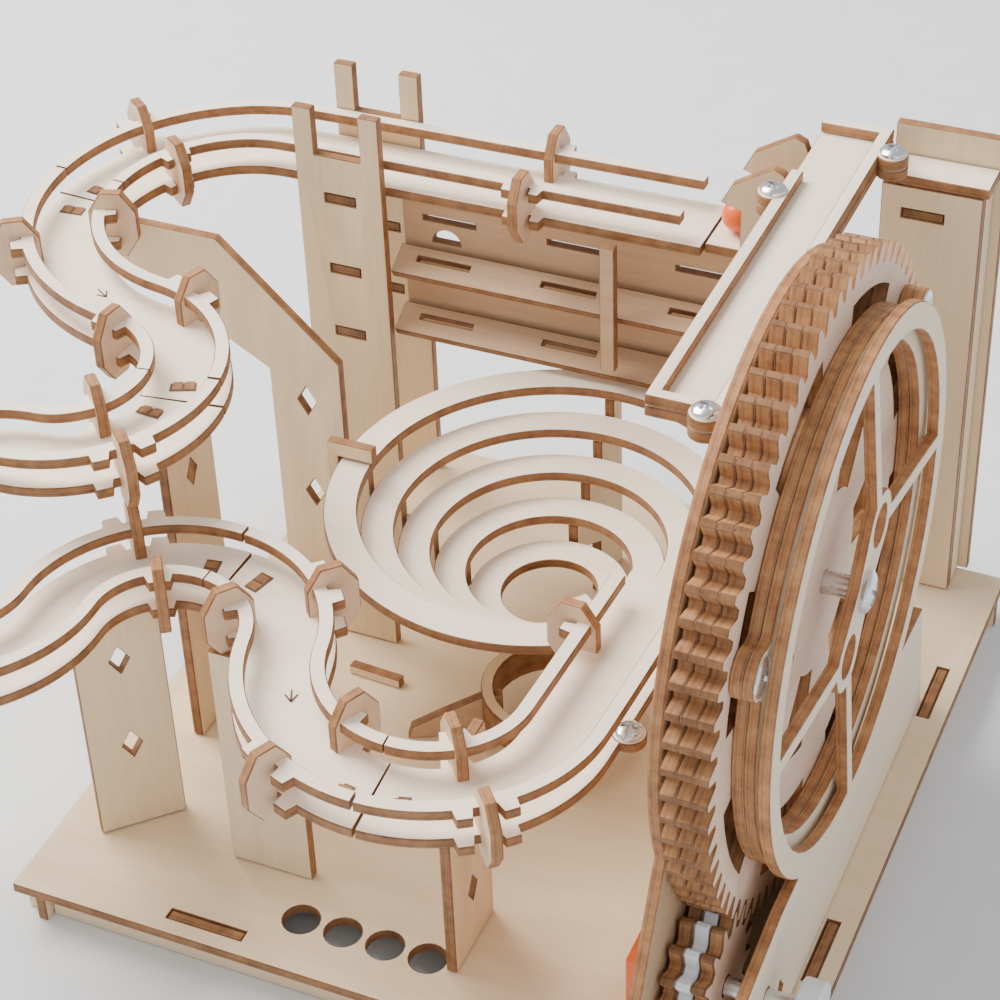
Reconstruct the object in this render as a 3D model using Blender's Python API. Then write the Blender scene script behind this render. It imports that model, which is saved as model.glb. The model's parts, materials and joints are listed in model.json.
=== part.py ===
"""Marble run with a lifting wheel, built from laser-cut plywood boards.

All sizes and places below are millimetres in the board frame: X runs right along the front edge
of the base plate, Y runs back, Z runs up, and the origin is the plate's front-left top corner.
make_object() turns them into metres, and stand_on_floor() moves the whole run so that its own
origin is the middle of its footprint at floor level.
"""
import math

import bpy
from mathutils import Matrix, Vector
from mathutils.geometry import delaunay_2d_cdt

MM = 0.001

# ---- stock and clearances ------------------------------------------------------------------
PLY = 3.0                     # plywood board
GAP = 0.3                     # clearance between touching pieces
RUN_GAP = 1.0                 # clearance beside the turning wheel
TAB_GAP = 0.3                 # clearance round a tab in its slot

# ---- base ----------------------------------------------------------------------------------
BASE_X = 216.0
BASE_Y = 222.0
SKIRT_DEPTH = 10.0
SKIRT_INSET = 5.0
SKIRT_PROUD = 1.5             # ends of the cross boards stand out past the side boards
TAB_LENGTH = 22.0
PARK_RADIUS = 5.15            # marble parking holes
PARK_PITCH = 12.3
PARK_FIRST = (78.8, 17.5)
PARK_COUNT = 4

# ---- wheel ---------------------------------------------------------------------------------
WHEEL_Y = 87.0
WHEEL_Z = 97.8
WHEEL_TEETH = 72
PINION_TEETH = 16
TOOTH_MODULE = 2.3
TOOTH_ADD = 2.3
TOOTH_DED = 2.7
GEAR_PLY = 3.7
GEAR_PLATES = 3
GEAR_X = 184.9                # inboard face of the innermost toothed plate
POCKETS = 8
POCKET_IN = 59.0
POCKET_OUT = 75.0
POCKET_SPAN = 27.0            # degrees
RIM_IN = 52.0                 # inner edge of the two rear toothed plates
PANEL_WINDOWS = 6
LUG_OUT = 70.5
LUG_IN = 62.0
LUG_RADIUS = 6.3
LUG_REACH = 2.6                 # how far a lug's centre stands out past the ring's edge
LUG_COUNT = 3
LUG_FIRST = 38.0
AXLE_RADIUS = 3.0
HUB_RADIUS = 10.0
PINION_DIRECTION = 227.7      # degrees from the wheel's axis to the pinion's axis, seen from +X
MESH_GAP = 0.5
MOTOR_SIZE = (6.0, 20.0, 34.0)
MOTOR_DROP = 11.0             # how far the motor's front stands ahead of its shaft

# ---- side frames ---------------------------------------------------------------------------
INNER_FRAME_RADIUS = 82.0
INNER_LOBE = 30.0
FEED_SPAN = (232.0, 262.0)    # degrees of the opening where marbles roll in
DROP_SPAN = (84.0, 112.0)     # degrees of the opening where marbles leave
OUTER_RING = 72.5
OUTER_RING_IN = 65.5
PANEL_TOP = 40.0
PANEL_BACK = 160.0
PANEL_BACK_TOP = 153.0
SPOKE_WIDTH = 4.5
SPOKE_ENDS = (92.0, 0.0, 269.0, 181.0)   # degrees where the four spokes meet the ring
EYE_REACH = 16.6              # the hub link's two eyes, from the wheel's axis
EYE_DIRECTION = 48.0
EYE_RADIUS = 9.4
EYE_HOLE = 5.7
LINK_WAIST = 6.8              # half the hub link's width at the axle

# ---- chute and right tower -----------------------------------------------------------------
CHUTE_X = (152.5, 172.5)
CHUTE_Y = (78.0, 220.0)
CHUTE_Z = 146.0
CHUTE_RIM = 3.5
CHUTE_EXIT = (190.0, 208.0)
GATE_FRONT = 189.5              # front face of the gate's front plate
GATE_OUTLINE = (                # (left of the chute, height), from the neck's foot
    (-13.9, 132.9), (-19.7, 134.8), (-16.5, 141.0), (-4.7, 148.2), (-1.7, 146.8), (-0.3, 143.0))
LANDING_TOP = 121.0
MARBLE_RADIUS = 5.0
TOWER_X = (172.5, 201.0)
TOWER_Y = (210.0, 222.0)
TOWER_FRONT_TOP = 138.0
TOWER_BACK_TOP = 150.5

# ---- fork tower and rack -------------------------------------------------------------------
FORK_X = (4.0, 31.5)
FORK_TOP = 144.0
FORK_NOTCH = 15.0
FORK_PRONG = 6.3
RACK_SHELVES = 2
RACK_TOP = 90.0
RACK_PITCH = 20.7
RACK_TILT = 30.0              # degrees a shelf leans up from front to back
RACK_DEPTH = 10.0
BACK_TOP = 116.0              # the upright board behind the shelves
BACK_HOLE = 4.5
POST_X = 100.0
POST_TOP = 118.0

# ---- track ---------------------------------------------------------------------------------
TRACK_WIDTH = 24.0
RAIL_WIDTH = 4.0
RAIL_LIFT = 9.0               # top of a rail above the top of its floor
TRACK_START = (134.0, 198.0)
TRACK_HEADING = 180.0
TRACK_MOVES = (               # (length, turn in degrees, left is positive)
    (137.0, 0.0),
    (142.0, 176.4),
    (89.0, -181.0),
    (44.0, 90.0),
    (12.0, 0.0),
    (74.8, 153.0),
    (24.7, 37.7),
    (92.1, -174.6),
    (106.5, 166.5),
    (72.0, 0.0),
)
TRACK_HEIGHTS = (             # (distance along the track, height of the floor's top)
    (0.0, 121.0),
    (137.0, 120.0),
    (279.0, 114.0),
    (368.0, 107.0),
    (499.0, 85.0),
    (524.0, 83.0),
    (616.0, 79.0),
    (722.0, 71.8),
    (793.0, 70.4),
)
TRACK_SEAMS = (5.5, 207.0, 317.5, 575.5, 668.0, 780.0)
TRACK_STEP = 6.0
RAIL_DELAY = 6.0                # the first rails start this far after their floor
FLOOR_LEAD = 13.0             # the last floor runs on past its rails, into the spiral

# ---- supports ------------------------------------------------------------------------------
SUPPORT_WIDTH = 24.0
ARM_POST_X = (7.7, 31.0)      # the U-turn's support: a post with an arm that reaches left
ARM_ROW = 149.5
ARM_SHOULDER = 80.8
ARM_NECK = 74.0
ARM_KNEE = (-10.2, 84.3)
ARM_CREST = -6.0
ARM_REACH = 13.0              # how far the arm runs in under the U-turn's floor
ARM_TIP = 7.0

# ---- funnel --------------------------------------------------------------------------------
FUNNEL_RADIUS = 66.0
FUNNEL_PITCH = 9.85           # how far the spiral closes in per turn
FUNNEL_TURNS = 5.2
FUNNEL_DROP = 8.4             # per turn
FUNNEL_Y = 128.3
FUNNEL_START = -19.0
FUNNEL_OUTSET = 5.4           # how far the outer turn stands out past the last floor's edge
STRIP_GAP = 0.5
HOOK_LIFT = 5.5               # the left comb's hook above the outer turn
HOOK_WALL = 4.0
COMB_FOOT = 18.0
COMB_TAIL = 8.0
BOWL_RADIUS = 21.0
BOWL_WALL = 3.5
BOWL_Z = (6.0, 16.0)
BOWL_SHIFT = (11.0, -17.0)    # from the spiral's centre

COLOURS = {
    "birch": ((0.79, 0.67, 0.50, 1.0), 0.60, 0.0),
    "pale_birch": ((0.86, 0.79, 0.68, 1.0), 0.58, 0.0),
    "burnt_birch": ((0.45, 0.27, 0.15, 1.0), 0.65, 0.0),
    "steel": ((0.70, 0.71, 0.72, 1.0), 0.25, 1.0),
    "white_plastic": ((0.90, 0.91, 0.93, 1.0), 0.35, 0.0),
    "orange_plastic": ((0.90, 0.32, 0.06, 1.0), 0.35, 0.0),
}


# ---- object helpers ------------------------------------------------------------------------
def clear_scene():
    for obj in list(bpy.data.objects):
        bpy.data.objects.remove(obj, do_unlink=True)


def make_material(name, kind):
    colour, roughness, metallic = COLOURS[kind]
    material = bpy.data.materials.new(name)
    material.use_nodes = True
    shader = material.node_tree.nodes["Principled BSDF"]
    shader.inputs["Base Color"].default_value = colour
    shader.inputs["Roughness"].default_value = roughness
    shader.inputs["Metallic"].default_value = metallic
    material.diffuse_color = colour
    return material


def make_object(name, verts, faces, kind, place, parent):
    mesh = bpy.data.meshes.new(name)
    mesh.from_pydata([Vector(v) * MM for v in verts], [], faces)
    mesh.materials.append(make_material(name, kind))
    obj = bpy.data.objects.new(name, mesh)
    bpy.context.scene.collection.objects.link(obj)
    obj.parent = parent
    obj.matrix_local = Matrix.Translation(place.to_translation() * MM) @ place.to_3x3().to_4x4()
    return obj


# ---- places: where a board's own plane lies ------------------------------------------------
def flat(z):
    """A level board: u is X, v is Y, thickness goes up from z."""
    return Matrix.Translation((0.0, 0.0, z))


def facing_front(y, thickness=PLY):
    """An upright board along X, with its front face at y: u is X, v is Z."""
    turn = Matrix(((1, 0, 0), (0, 0, -1), (0, 1, 0))).to_4x4()
    return Matrix.Translation((0.0, y + thickness, 0.0)) @ turn


def facing_side(x):
    """An upright board along Y, with its left face at x: u is Y, v is Z."""
    turn = Matrix(((0, 0, 1), (1, 0, 0), (0, 1, 0))).to_4x4()
    return Matrix.Translation((x, 0.0, 0.0)) @ turn


def upright_at(x, y, z, heading):
    """An upright board whose u axis points along heading from (x, y), centred on its thickness."""
    turn = Matrix.Rotation(math.radians(heading), 4, "Z")
    lie = facing_front(-PLY / 2.0)
    return Matrix.Translation((x, y, z)) @ turn @ lie


# ---- outlines ------------------------------------------------------------------------------
def rectangle(u0, v0, u1, v1):
    return [(u0, v0), (u1, v0), (u1, v1), (u0, v1)]


def arc(cu, cv, radius, start, end, count):
    points = []
    for i in range(count + 1):
        angle = math.radians(start + (end - start) * i / count)
        points.append((cu + radius * math.cos(angle), cv + radius * math.sin(angle)))
    return points


def circle(cu, cv, radius, count=24):
    return arc(cu, cv, radius, 0.0, 360.0 * (count - 1) / count, count - 1)


def diamond(cu, cv, width, height):
    return [(cu - width / 2, cv), (cu, cv - height / 2), (cu + width / 2, cv), (cu, cv + height / 2)]


def ring_window(cu, cv, inner, outer, start, end, count=6):
    return arc(cu, cv, outer, start, end, count) + arc(cu, cv, inner, end, start, count)


def gear_outline(cu, cv, teeth, phase=0.0):
    """Straight-flanked teeth: root, flank, tip, flank for each tooth."""
    pitch_radius = TOOTH_MODULE * teeth / 2.0
    root = pitch_radius - TOOTH_DED
    tip = pitch_radius + TOOTH_ADD
    step = 360.0 / teeth
    points = []
    for tooth in range(teeth):
        centre = phase + tooth * step
        for share, radius in ((-0.36, root), (-0.13, tip), (0.13, tip), (0.36, root)):
            angle = math.radians(centre + share * step)
            points.append((cu + radius * math.cos(angle), cv + radius * math.sin(angle)))
    return points


# ---- solids --------------------------------------------------------------------------------
def signed_area(loop):
    total = 0.0
    for (u0, v0), (u1, v1) in zip(loop, loop[1:] + loop[:1]):
        total += u0 * v1 - u1 * v0
    return total / 2.0


def inside(u, v, loops):
    """Whether a point is on the board and not in one of its holes."""
    crossings = 0
    for loop in loops:
        for (u0, v0), (u1, v1) in zip(loop, loop[1:] + loop[:1]):
            if (v0 > v) != (v1 > v) and u < u0 + (u1 - u0) * (v - v0) / (v1 - v0):
                crossings += 1
    return crossings % 2 == 1


def board_triangles(loops):
    """Triangles that fill a board's face, as corner numbers in the order of its loops."""
    points = [Vector(point) for loop in loops for point in loop]
    edges = []
    first = 0
    for loop in loops:
        edges += [(first + i, first + (i + 1) % len(loop)) for i in range(len(loop))]
        first += len(loop)
    triangles = []
    for face in delaunay_2d_cdt(points, edges, [], 1, 1e-6)[2]:
        middle = sum((points[i] for i in face), Vector((0.0, 0.0))) / 3.0
        if inside(middle.x, middle.y, loops):
            a, b, c = face
            forward = signed_area([points[a], points[b], points[c]]) > 0
            triangles.append((a, b, c) if forward else (a, c, b))
    return triangles


def board(name, loops, kind, place, parent, thickness=PLY):
    """A flat board: the first loop is its outline and the others are its holes."""
    turned = []
    for index, loop in enumerate(loops):
        forward = (signed_area(loop) > 0) == (index == 0)
        turned.append(list(loop) if forward else list(reversed(loop)))
    count = sum(len(loop) for loop in turned)
    verts = []
    for height in (0.0, thickness):
        verts += [(u, v, height) for loop in turned for u, v in loop]
    faces = []
    for a, b, c in board_triangles(turned):
        faces.append((a + count, b + count, c + count))
        faces.append((a, c, b))
    first = 0
    for loop in turned:
        for i in range(len(loop)):
            here = first + i
            after = first + (i + 1) % len(loop)
            faces.append((here, after, after + count, here + count))
        first += len(loop)
    return make_object(name, verts, faces, kind, place, parent)


def sweep(name, stations, profile, kind, parent):
    """A solid of one cross-section, (offset to the left, height), carried along stations."""
    size = len(profile)
    verts = []
    for x, y, z, heading in stations:
        for offset, height in profile:
            verts.append((x - offset * math.sin(heading), y + offset * math.cos(heading), z + height))
    faces = [tuple(range(size - 1, -1, -1))]
    for i in range(len(stations) - 1):
        for j in range(size):
            after = (j + 1) % size
            a, b = i * size + j, i * size + after
            faces.append((a, b, b + size, a + size))
    last = (len(stations) - 1) * size
    faces.append(tuple(last + j for j in range(size)))
    return make_object(name, verts, faces, kind, Matrix(), parent)


def block(name, low, high, kind, parent):
    """A box between two corners."""
    outline = rectangle(low[0], low[1], high[0], high[1])
    return board(name, [outline], kind, flat(low[2]), parent, high[2] - low[2])


def rod(name, x0, x1, y, z, radius, kind, parent, count=20):
    """A round bar along X."""
    return board(name, [circle(y, z, radius, count)], kind, facing_side(x0), parent, x1 - x0)


# ---- track route ---------------------------------------------------------------------------
def route_point(distance):
    """Place and heading at a distance along the track's centre line."""
    x, y = TRACK_START
    heading = math.radians(TRACK_HEADING)
    left = distance
    for length, turn in TRACK_MOVES:
        part = min(left, length)
        bend = math.radians(turn) * part / length
        if abs(bend) < 1e-9:
            x += part * math.cos(heading)
            y += part * math.sin(heading)
        else:
            radius = part / bend
            x += radius * (math.sin(heading + bend) - math.sin(heading))
            y -= radius * (math.cos(heading + bend) - math.cos(heading))
        heading += bend
        left -= part
        if left <= 0.0:
            break
    return x, y, heading


def floor_height(distance):
    """Height of the floor's top, eased over the joints between slopes."""
    total = 0.0
    for shift in (-16.0, -8.0, 0.0, 8.0, 16.0):
        place = distance + shift
        value = TRACK_HEIGHTS[-1][1]
        for (s0, z0), (s1, z1) in zip(TRACK_HEIGHTS, TRACK_HEIGHTS[1:]):
            if place <= s1:
                value = z0 + (z1 - z0) * (place - s0) / (s1 - s0)
                break
        total += value
    return total / 5.0


def track_stations(start, end):
    count = max(2, round((end - start) / TRACK_STEP))
    stations = []
    for i in range(count + 1):
        distance = start + (end - start) * i / count
        x, y, heading = route_point(distance)
        stations.append((x, y, floor_height(distance), heading))
    return stations


def strip(inner, outer, top):
    """Cross-section of a level strip between two offsets, with its top at a height."""
    return [(inner, top - PLY), (outer, top - PLY), (outer, top), (inner, top)]


# ---- base ----------------------------------------------------------------------------------
def skirt_rows():
    """Front edge of each cross board under the plate."""
    return (SKIRT_INSET, BASE_Y - SKIRT_INSET - PLY)


def skirt_columns():
    """Left face of each side board under the plate."""
    return (SKIRT_INSET, BASE_X - SKIRT_INSET - PLY)


def tab_centres(length):
    return (length * 0.26, length * 0.74)


def build_base(run):
    half = TAB_LENGTH / 2.0
    holes = []
    for i in range(PARK_COUNT):
        holes.append(circle(PARK_FIRST[0] + i * PARK_PITCH, PARK_FIRST[1], PARK_RADIUS, 20))
    for centre in tab_centres(BASE_X):
        row = skirt_rows()[0]
        holes.append(rectangle(centre - half - TAB_GAP, row - TAB_GAP,
                               centre + half + TAB_GAP, row + PLY + TAB_GAP))
    for column in skirt_columns():
        for centre in tab_centres(BASE_Y):
            holes.append(rectangle(column - TAB_GAP, centre - half - TAB_GAP,
                                   column + PLY + TAB_GAP, centre + half + TAB_GAP))
    outline = rectangle(0.0, 0.0, BASE_X, BASE_Y)
    board("base_plate", [outline] + holes, "birch", flat(-PLY), run)


def cross_skirt(name, row, tabs, run):
    """A board under the plate along X, half-lapped over the side boards."""
    top = -PLY - GAP
    bottom = top - SKIRT_DEPTH
    middle = (top + bottom) / 2.0
    left = skirt_columns()[0] - SKIRT_PROUD - PLY
    right = skirt_columns()[1] + 2.0 * PLY + SKIRT_PROUD
    points = [(left, bottom)]
    for column in skirt_columns():
        points += [(column - TAB_GAP, bottom), (column - TAB_GAP, middle + TAB_GAP / 2),
                   (column + PLY + TAB_GAP, middle + TAB_GAP / 2), (column + PLY + TAB_GAP, bottom)]
    points += [(right, bottom), (right, top)]
    if tabs:
        for centre in reversed(tab_centres(BASE_X)):
            half = TAB_LENGTH / 2.0
            points += [(centre + half, top), (centre + half, -GAP),
                       (centre - half, -GAP), (centre - half, top)]
    points.append((left, top))
    board(name, [points], "birch", facing_front(row), run)


def side_skirt(name, column, run):
    """A board under the plate along Y, notched from above for the cross boards."""
    top = -PLY - GAP
    bottom = top - SKIRT_DEPTH
    middle = (top + bottom) / 2.0
    front = skirt_rows()[0] - PLY
    back = skirt_rows()[-1] + 2.0 * PLY
    half = TAB_LENGTH / 2.0
    marks = []
    for row in skirt_rows():
        marks.append((row - TAB_GAP, row + PLY + TAB_GAP, middle - TAB_GAP / 2))
    for centre in tab_centres(BASE_Y):
        marks.append((centre - half, centre + half, -GAP))
    points = [(front, bottom), (back, bottom), (back, top)]
    for low, high, level in sorted(marks, reverse=True):
        points += [(high, top), (high, level), (low, level), (low, top)]
    points.append((front, top))
    board(name, [points], "birch", facing_side(column), run)


def build_skirts(run):
    names = ("front_skirt", "rear_skirt")
    for index, (name, row) in enumerate(zip(names, skirt_rows())):
        cross_skirt(name, row, index == 0, run)
    for name, column in zip(("left_skirt", "right_skirt"), skirt_columns()):
        side_skirt(name, column, run)


# ---- fork tower and rack -------------------------------------------------------------------
def fork_rows():
    """Front faces of the two fork boards, one on each side of the track."""
    half = TRACK_WIDTH / 2.0 + GAP
    return (TRACK_START[1] - half - PLY, TRACK_START[1] + half)


def fork_board(name, row, run):
    left, right = FORK_X
    notch = FORK_TOP - FORK_NOTCH
    outline = [(left, GAP), (right, GAP), (right, FORK_TOP), (right - FORK_PRONG, FORK_TOP),
               (right - FORK_PRONG, notch), (left + FORK_PRONG, notch),
               (left + FORK_PRONG, FORK_TOP), (left, FORK_TOP)]
    middle = (left + right) / 2.0
    slots = [rectangle(middle - 5.0, z - 1.6, middle + 5.0, z + 1.6) for z in (68.0, 90.5, 115.0)]
    board(name, [outline] + slots, "birch", facing_front(row), run)


def rack_span():
    """Left and right ends of the rack's boards, between the fork tower and the gate."""
    return FORK_X[1] + GAP + 0.2, TOWER_X[0] - 30.0


def rack_slots(low, high):
    left, right = rack_span()
    starts = [left + (right - left) * share for share in (0.06, 0.42, 0.78)]
    return [rectangle(start, low, start + 17.0, high) for start in starts]


def shelf_row():
    """Front edge of the shelves, just behind the front fork board."""
    return fork_rows()[0] + PLY


def rack_shelf(index, run):
    """A slotted shelf that leans back, with its low edge to the front."""
    left, right = rack_span()
    turn = Matrix.Rotation(math.radians(RACK_TILT), 4, "X")
    place = Matrix.Translation((0.0, shelf_row(), RACK_TOP - index * RACK_PITCH)) @ turn
    outline = rectangle(left, 0.0, right, RACK_DEPTH)
    slots = rack_slots(RACK_DEPTH * 0.5, RACK_DEPTH * 0.5 + 1.8)
    board(f"rack_shelf_{index + 1}", [outline] + slots, "birch", place, run)


def rack_back(run):
    """The upright board behind the shelves, with a half-round notch over each shelf."""
    left, right = rack_span()
    bottom = RACK_TOP - (RACK_SHELVES - 1) * RACK_PITCH
    row = shelf_row() + RACK_DEPTH * math.cos(math.radians(RACK_TILT)) + GAP
    holes = []
    rise = RACK_DEPTH * math.sin(math.radians(RACK_TILT)) + PLY
    for index in range(RACK_SHELVES):
        level = RACK_TOP - index * RACK_PITCH + rise
        holes += rack_slots(level + 8.0, level + 9.8)
    centre = left + 14.0
    holes.append(arc(centre, RACK_TOP + rise + 1.0, BACK_HOLE, 0.0, 180.0, 12))
    board("rack_back", [rectangle(left, bottom, right, BACK_TOP)] + holes, "birch",
          facing_front(row), run)


def build_rear(run):
    for name, row in zip(("fork_tower_front", "fork_tower_rear"), fork_rows()):
        fork_board(name, row, run)
    for index in range(RACK_SHELVES):
        rack_shelf(index, run)
    rack_back(run)
    foot = TRACK_HEIGHTS[-1][1] + HOOK_LIFT
    row = shelf_row() - PLY * math.sin(math.radians(RACK_TILT)) - PLY - GAP
    post = rectangle(POST_X, foot, POST_X + 4.5, POST_TOP)
    board("rack_post", [post], "burnt_birch", facing_front(row), run)


# ---- right tower and chute -----------------------------------------------------------------
def build_tower(run):
    left, right = TOWER_X
    front, back = TOWER_Y
    slot = rectangle(left + 6.0, TOWER_FRONT_TOP - 10.0, left + 18.0, TOWER_FRONT_TOP - 7.0)
    face = rectangle(left, GAP, right, TOWER_FRONT_TOP)
    board("tower_front", [face, slot], "birch", facing_front(front), run)
    rear = rectangle(left, GAP, right + 3.0, TOWER_BACK_TOP)
    board("tower_back", [rear], "birch", facing_front(back), run)
    side = rectangle(front + PLY + GAP, GAP, back - GAP, TOWER_FRONT_TOP)
    board("tower_side", [side], "birch", facing_side(right - PLY), run)
    cap = rectangle(left + 1.0, front, right + 1.5, back - GAP)
    board("tower_cap", [cap], "pale_birch", flat(TOWER_FRONT_TOP + GAP), run)


def build_chute(run):
    left, right = CHUTE_X
    front, back = CHUTE_Y
    floor = rectangle(left, front, right, back)
    board("chute_floor", [floor], "pale_birch", flat(CHUTE_Z - PLY), run)
    rim = CHUTE_RIM
    exit_front, exit_back = CHUTE_EXIT
    frame = [(left, front), (right, front), (right, back), (left, back), (left, back - rim),
             (right - rim, back - rim), (right - rim, front + rim), (left + rim, front + rim),
             (left + rim, exit_front), (left, exit_front)]
    board("chute_rim", [frame], "pale_birch", flat(CHUTE_Z + GAP), run)
    foot = LANDING_TOP + GAP
    for name, row in zip(("gate_front_plate", "gate_rear_plate"), (GATE_FRONT, exit_back)):
        head = [(left + u, v) for u, v in GATE_OUTLINE]
        plate = [(head[-1][0], foot), (head[0][0], foot)] + head
        board(name, [plate], "birch", facing_front(row), run)
    track_end = route_point(TRACK_SEAMS[0])[0]
    landing = rectangle(track_end + GAP, GATE_FRONT - 1.0, left - GAP, exit_back + PLY + 1.0)
    board("landing_board", [landing], "pale_birch", flat(LANDING_TOP - PLY), run)


# ---- track ---------------------------------------------------------------------------------
def build_track(run):
    half = TRACK_WIDTH / 2.0
    names = ("straight", "s_bend", "loop", "lower_bend", "run_in")
    for name, start, end in zip(names, TRACK_SEAMS, TRACK_SEAMS[1:]):
        lead = FLOOR_LEAD if name == names[-1] else 0.0
        delay = RAIL_DELAY if name == names[0] else 0.0
        floor = track_stations(start + GAP / 2.0, end + lead - GAP / 2.0)
        rails = track_stations(start + delay + GAP / 2.0, end - GAP / 2.0)
        sweep(f"track_{name}_floor", floor, strip(-half, half, 0.0), "pale_birch", run)
        left = strip(half - RAIL_WIDTH, half, RAIL_LIFT)
        right = strip(-half, -half + RAIL_WIDTH, RAIL_LIFT)
        sweep(f"track_{name}_left_rail", rails, left, "pale_birch", run)
        sweep(f"track_{name}_right_rail", rails, right, "pale_birch", run)


def support(name, distance, side, heading, run):
    """An upright board with diamond holes, from the base up to the underside of the track."""
    x, y, route = route_point(distance)
    x -= side * math.sin(route)
    y += side * math.cos(route)
    half = SUPPORT_WIDTH / 2.0
    top = floor_height(distance + SUPPORT_WIDTH) - PLY - 2.0 * GAP
    outline = rectangle(-half, GAP, half, top)
    count = int(top // 30.0)
    holes = [diamond(0.0, top - 18.0 - 30.0 * i, 5.5, 9.0) for i in range(count)]
    board(name, [outline] + holes, "birch", upright_at(x, y, 0.0, heading), run)


def arm_support(run):
    """The U-turn's support: a post beside the track with an arm under its floor."""
    left, right = ARM_POST_X
    reach = route_point(TRACK_MOVES[0][0] + TRACK_MOVES[1][0] / 2.0)[0] + TRACK_WIDTH / 2.0
    level = floor_height(TRACK_MOVES[0][0] + TRACK_MOVES[1][0] * 0.6) - PLY - 2.0 * GAP
    crest = level + PLY + GAP
    outline = [(left, GAP), (right, GAP), (right, ARM_SHOULDER), (ARM_CREST, crest),
               (reach + 1.0, crest), (reach + 1.0, level), (reach - ARM_REACH, level),
               (reach - ARM_REACH, level - ARM_TIP), ARM_KNEE, (left, ARM_NECK)]
    middle = (left + right) / 2.0
    holes = [diamond(middle, z, 6.0, 10.0) for z in (31.2, 65.2)]
    board("support_u_turn", [outline] + holes, "birch", facing_front(ARM_ROW), run)


def build_supports(run):
    arm_support(run)
    support("support_s_bend", 317.0, -1.2, 90.0, run)
    support("support_loop", 541.0, -1.9, 45.0, run)
    support("support_lower_bend", 605.0, -10.0, 0.0, run)
    support("support_corner", 702.0, 22.5, 90.0, run)


# ---- funnel --------------------------------------------------------------------------------
def funnel_centre_x():
    """The outer turn carries on from the end of the last floor."""
    end = route_point(TRACK_SEAMS[-1] + FLOOR_LEAD)[0]
    return end + TRACK_WIDTH / 2.0 + FUNNEL_OUTSET - FUNNEL_RADIUS


def strip_width():
    return FUNNEL_PITCH - STRIP_GAP


def funnel_place(angle):
    """Centre line radius and height of the strip's top, angle in degrees from its start."""
    turns = (angle - FUNNEL_START) / 360.0
    radius = FUNNEL_RADIUS - strip_width() / 2.0 - FUNNEL_PITCH * turns
    height = TRACK_HEIGHTS[-1][1] - FUNNEL_DROP * turns
    return radius, height


def build_funnel(run):
    cx = funnel_centre_x()
    cy = FUNNEL_Y
    stations = []
    angle = FUNNEL_START
    while angle < FUNNEL_START + 360.0 * FUNNEL_TURNS:
        radius, height = funnel_place(angle)
        turn = math.radians(angle)
        stations.append((cx + radius * math.cos(turn), cy + radius * math.sin(turn), height,
                         turn + math.pi / 2.0))
        angle += 8.0 if radius > 30.0 else 12.0
    half = strip_width() / 2.0
    sweep("spiral_funnel", stations, strip(-half, half, 0.0), "pale_birch", run)
    for name, direction, hooked in (("left", 180.0, True), ("rear", 90.0, False)):
        comb(f"funnel_comb_{name}", cx, cy, direction, hooked, run)
    bowl_x = cx + BOWL_SHIFT[0]
    bowl_y = cy + BOWL_SHIFT[1]
    rings = [circle(bowl_x, bowl_y, BOWL_RADIUS, 32), circle(bowl_x, bowl_y, BOWL_RADIUS - BOWL_WALL, 32)]
    board("catch_bowl", rings, "birch", flat(BOWL_Z[0]), run, BOWL_Z[1] - BOWL_Z[0])


def comb(name, cx, cy, direction, hooked, run):
    """A stepped board that carries every turn of the spiral; it may hook over the outer one."""
    half = strip_width() / 2.0
    slack = GAP + 0.4
    first = direction if direction > FUNNEL_START else direction + 360.0
    radius, height = funnel_place(first)
    outer = radius + half
    inner = radius - half
    if hooked:
        foot = outer + HOOK_WALL
        hook = height + HOOK_LIFT
        points = [(foot, GAP), (foot, hook), (inner - 1.0, hook), (inner - 1.0, height + slack),
                  (outer + slack, height + slack), (outer + slack, height - PLY - slack)]
    else:
        foot = outer - 2.0
        points = [(foot, GAP), (foot, height - PLY - slack)]
    for turn in range(int(FUNNEL_TURNS) - 1):
        radius, height = funnel_place(first + 360.0 * turn)
        level = height - PLY - slack
        points += [(radius - half + 0.6, level), (radius - half + 0.6, level - FUNNEL_DROP)]
    stop = points[-2][0]
    points = points[:-1]
    points += [(stop, points[-1][1] - COMB_TAIL), (foot - COMB_FOOT, 20.0), (foot - COMB_FOOT, GAP)]
    board(name, [points], "birch", upright_at(cx, cy, 0.0, direction), run)


# ---- wheel ---------------------------------------------------------------------------------
def plate_x(index):
    return GEAR_X + index * (GEAR_PLY + GAP)


def gear_face():
    """Outboard face of the outermost toothed plate."""
    return plate_x(GEAR_PLATES - 1) + GEAR_PLY


def pinion_centre():
    distance = TOOTH_MODULE * (WHEEL_TEETH + PINION_TEETH) / 2.0 + MESH_GAP
    angle = math.radians(PINION_DIRECTION)
    return WHEEL_Y + distance * math.cos(angle), WHEEL_Z + distance * math.sin(angle)


def wheel_windows():
    """Marble pockets near the rim of every toothed plate."""
    windows = []
    for i in range(POCKETS):
        middle = 360.0 * (i + 0.5) / POCKETS
        windows.append(ring_window(WHEEL_Y, WHEEL_Z, POCKET_IN, POCKET_OUT,
                                   middle - POCKET_SPAN / 2, middle + POCKET_SPAN / 2))
    return windows


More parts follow.
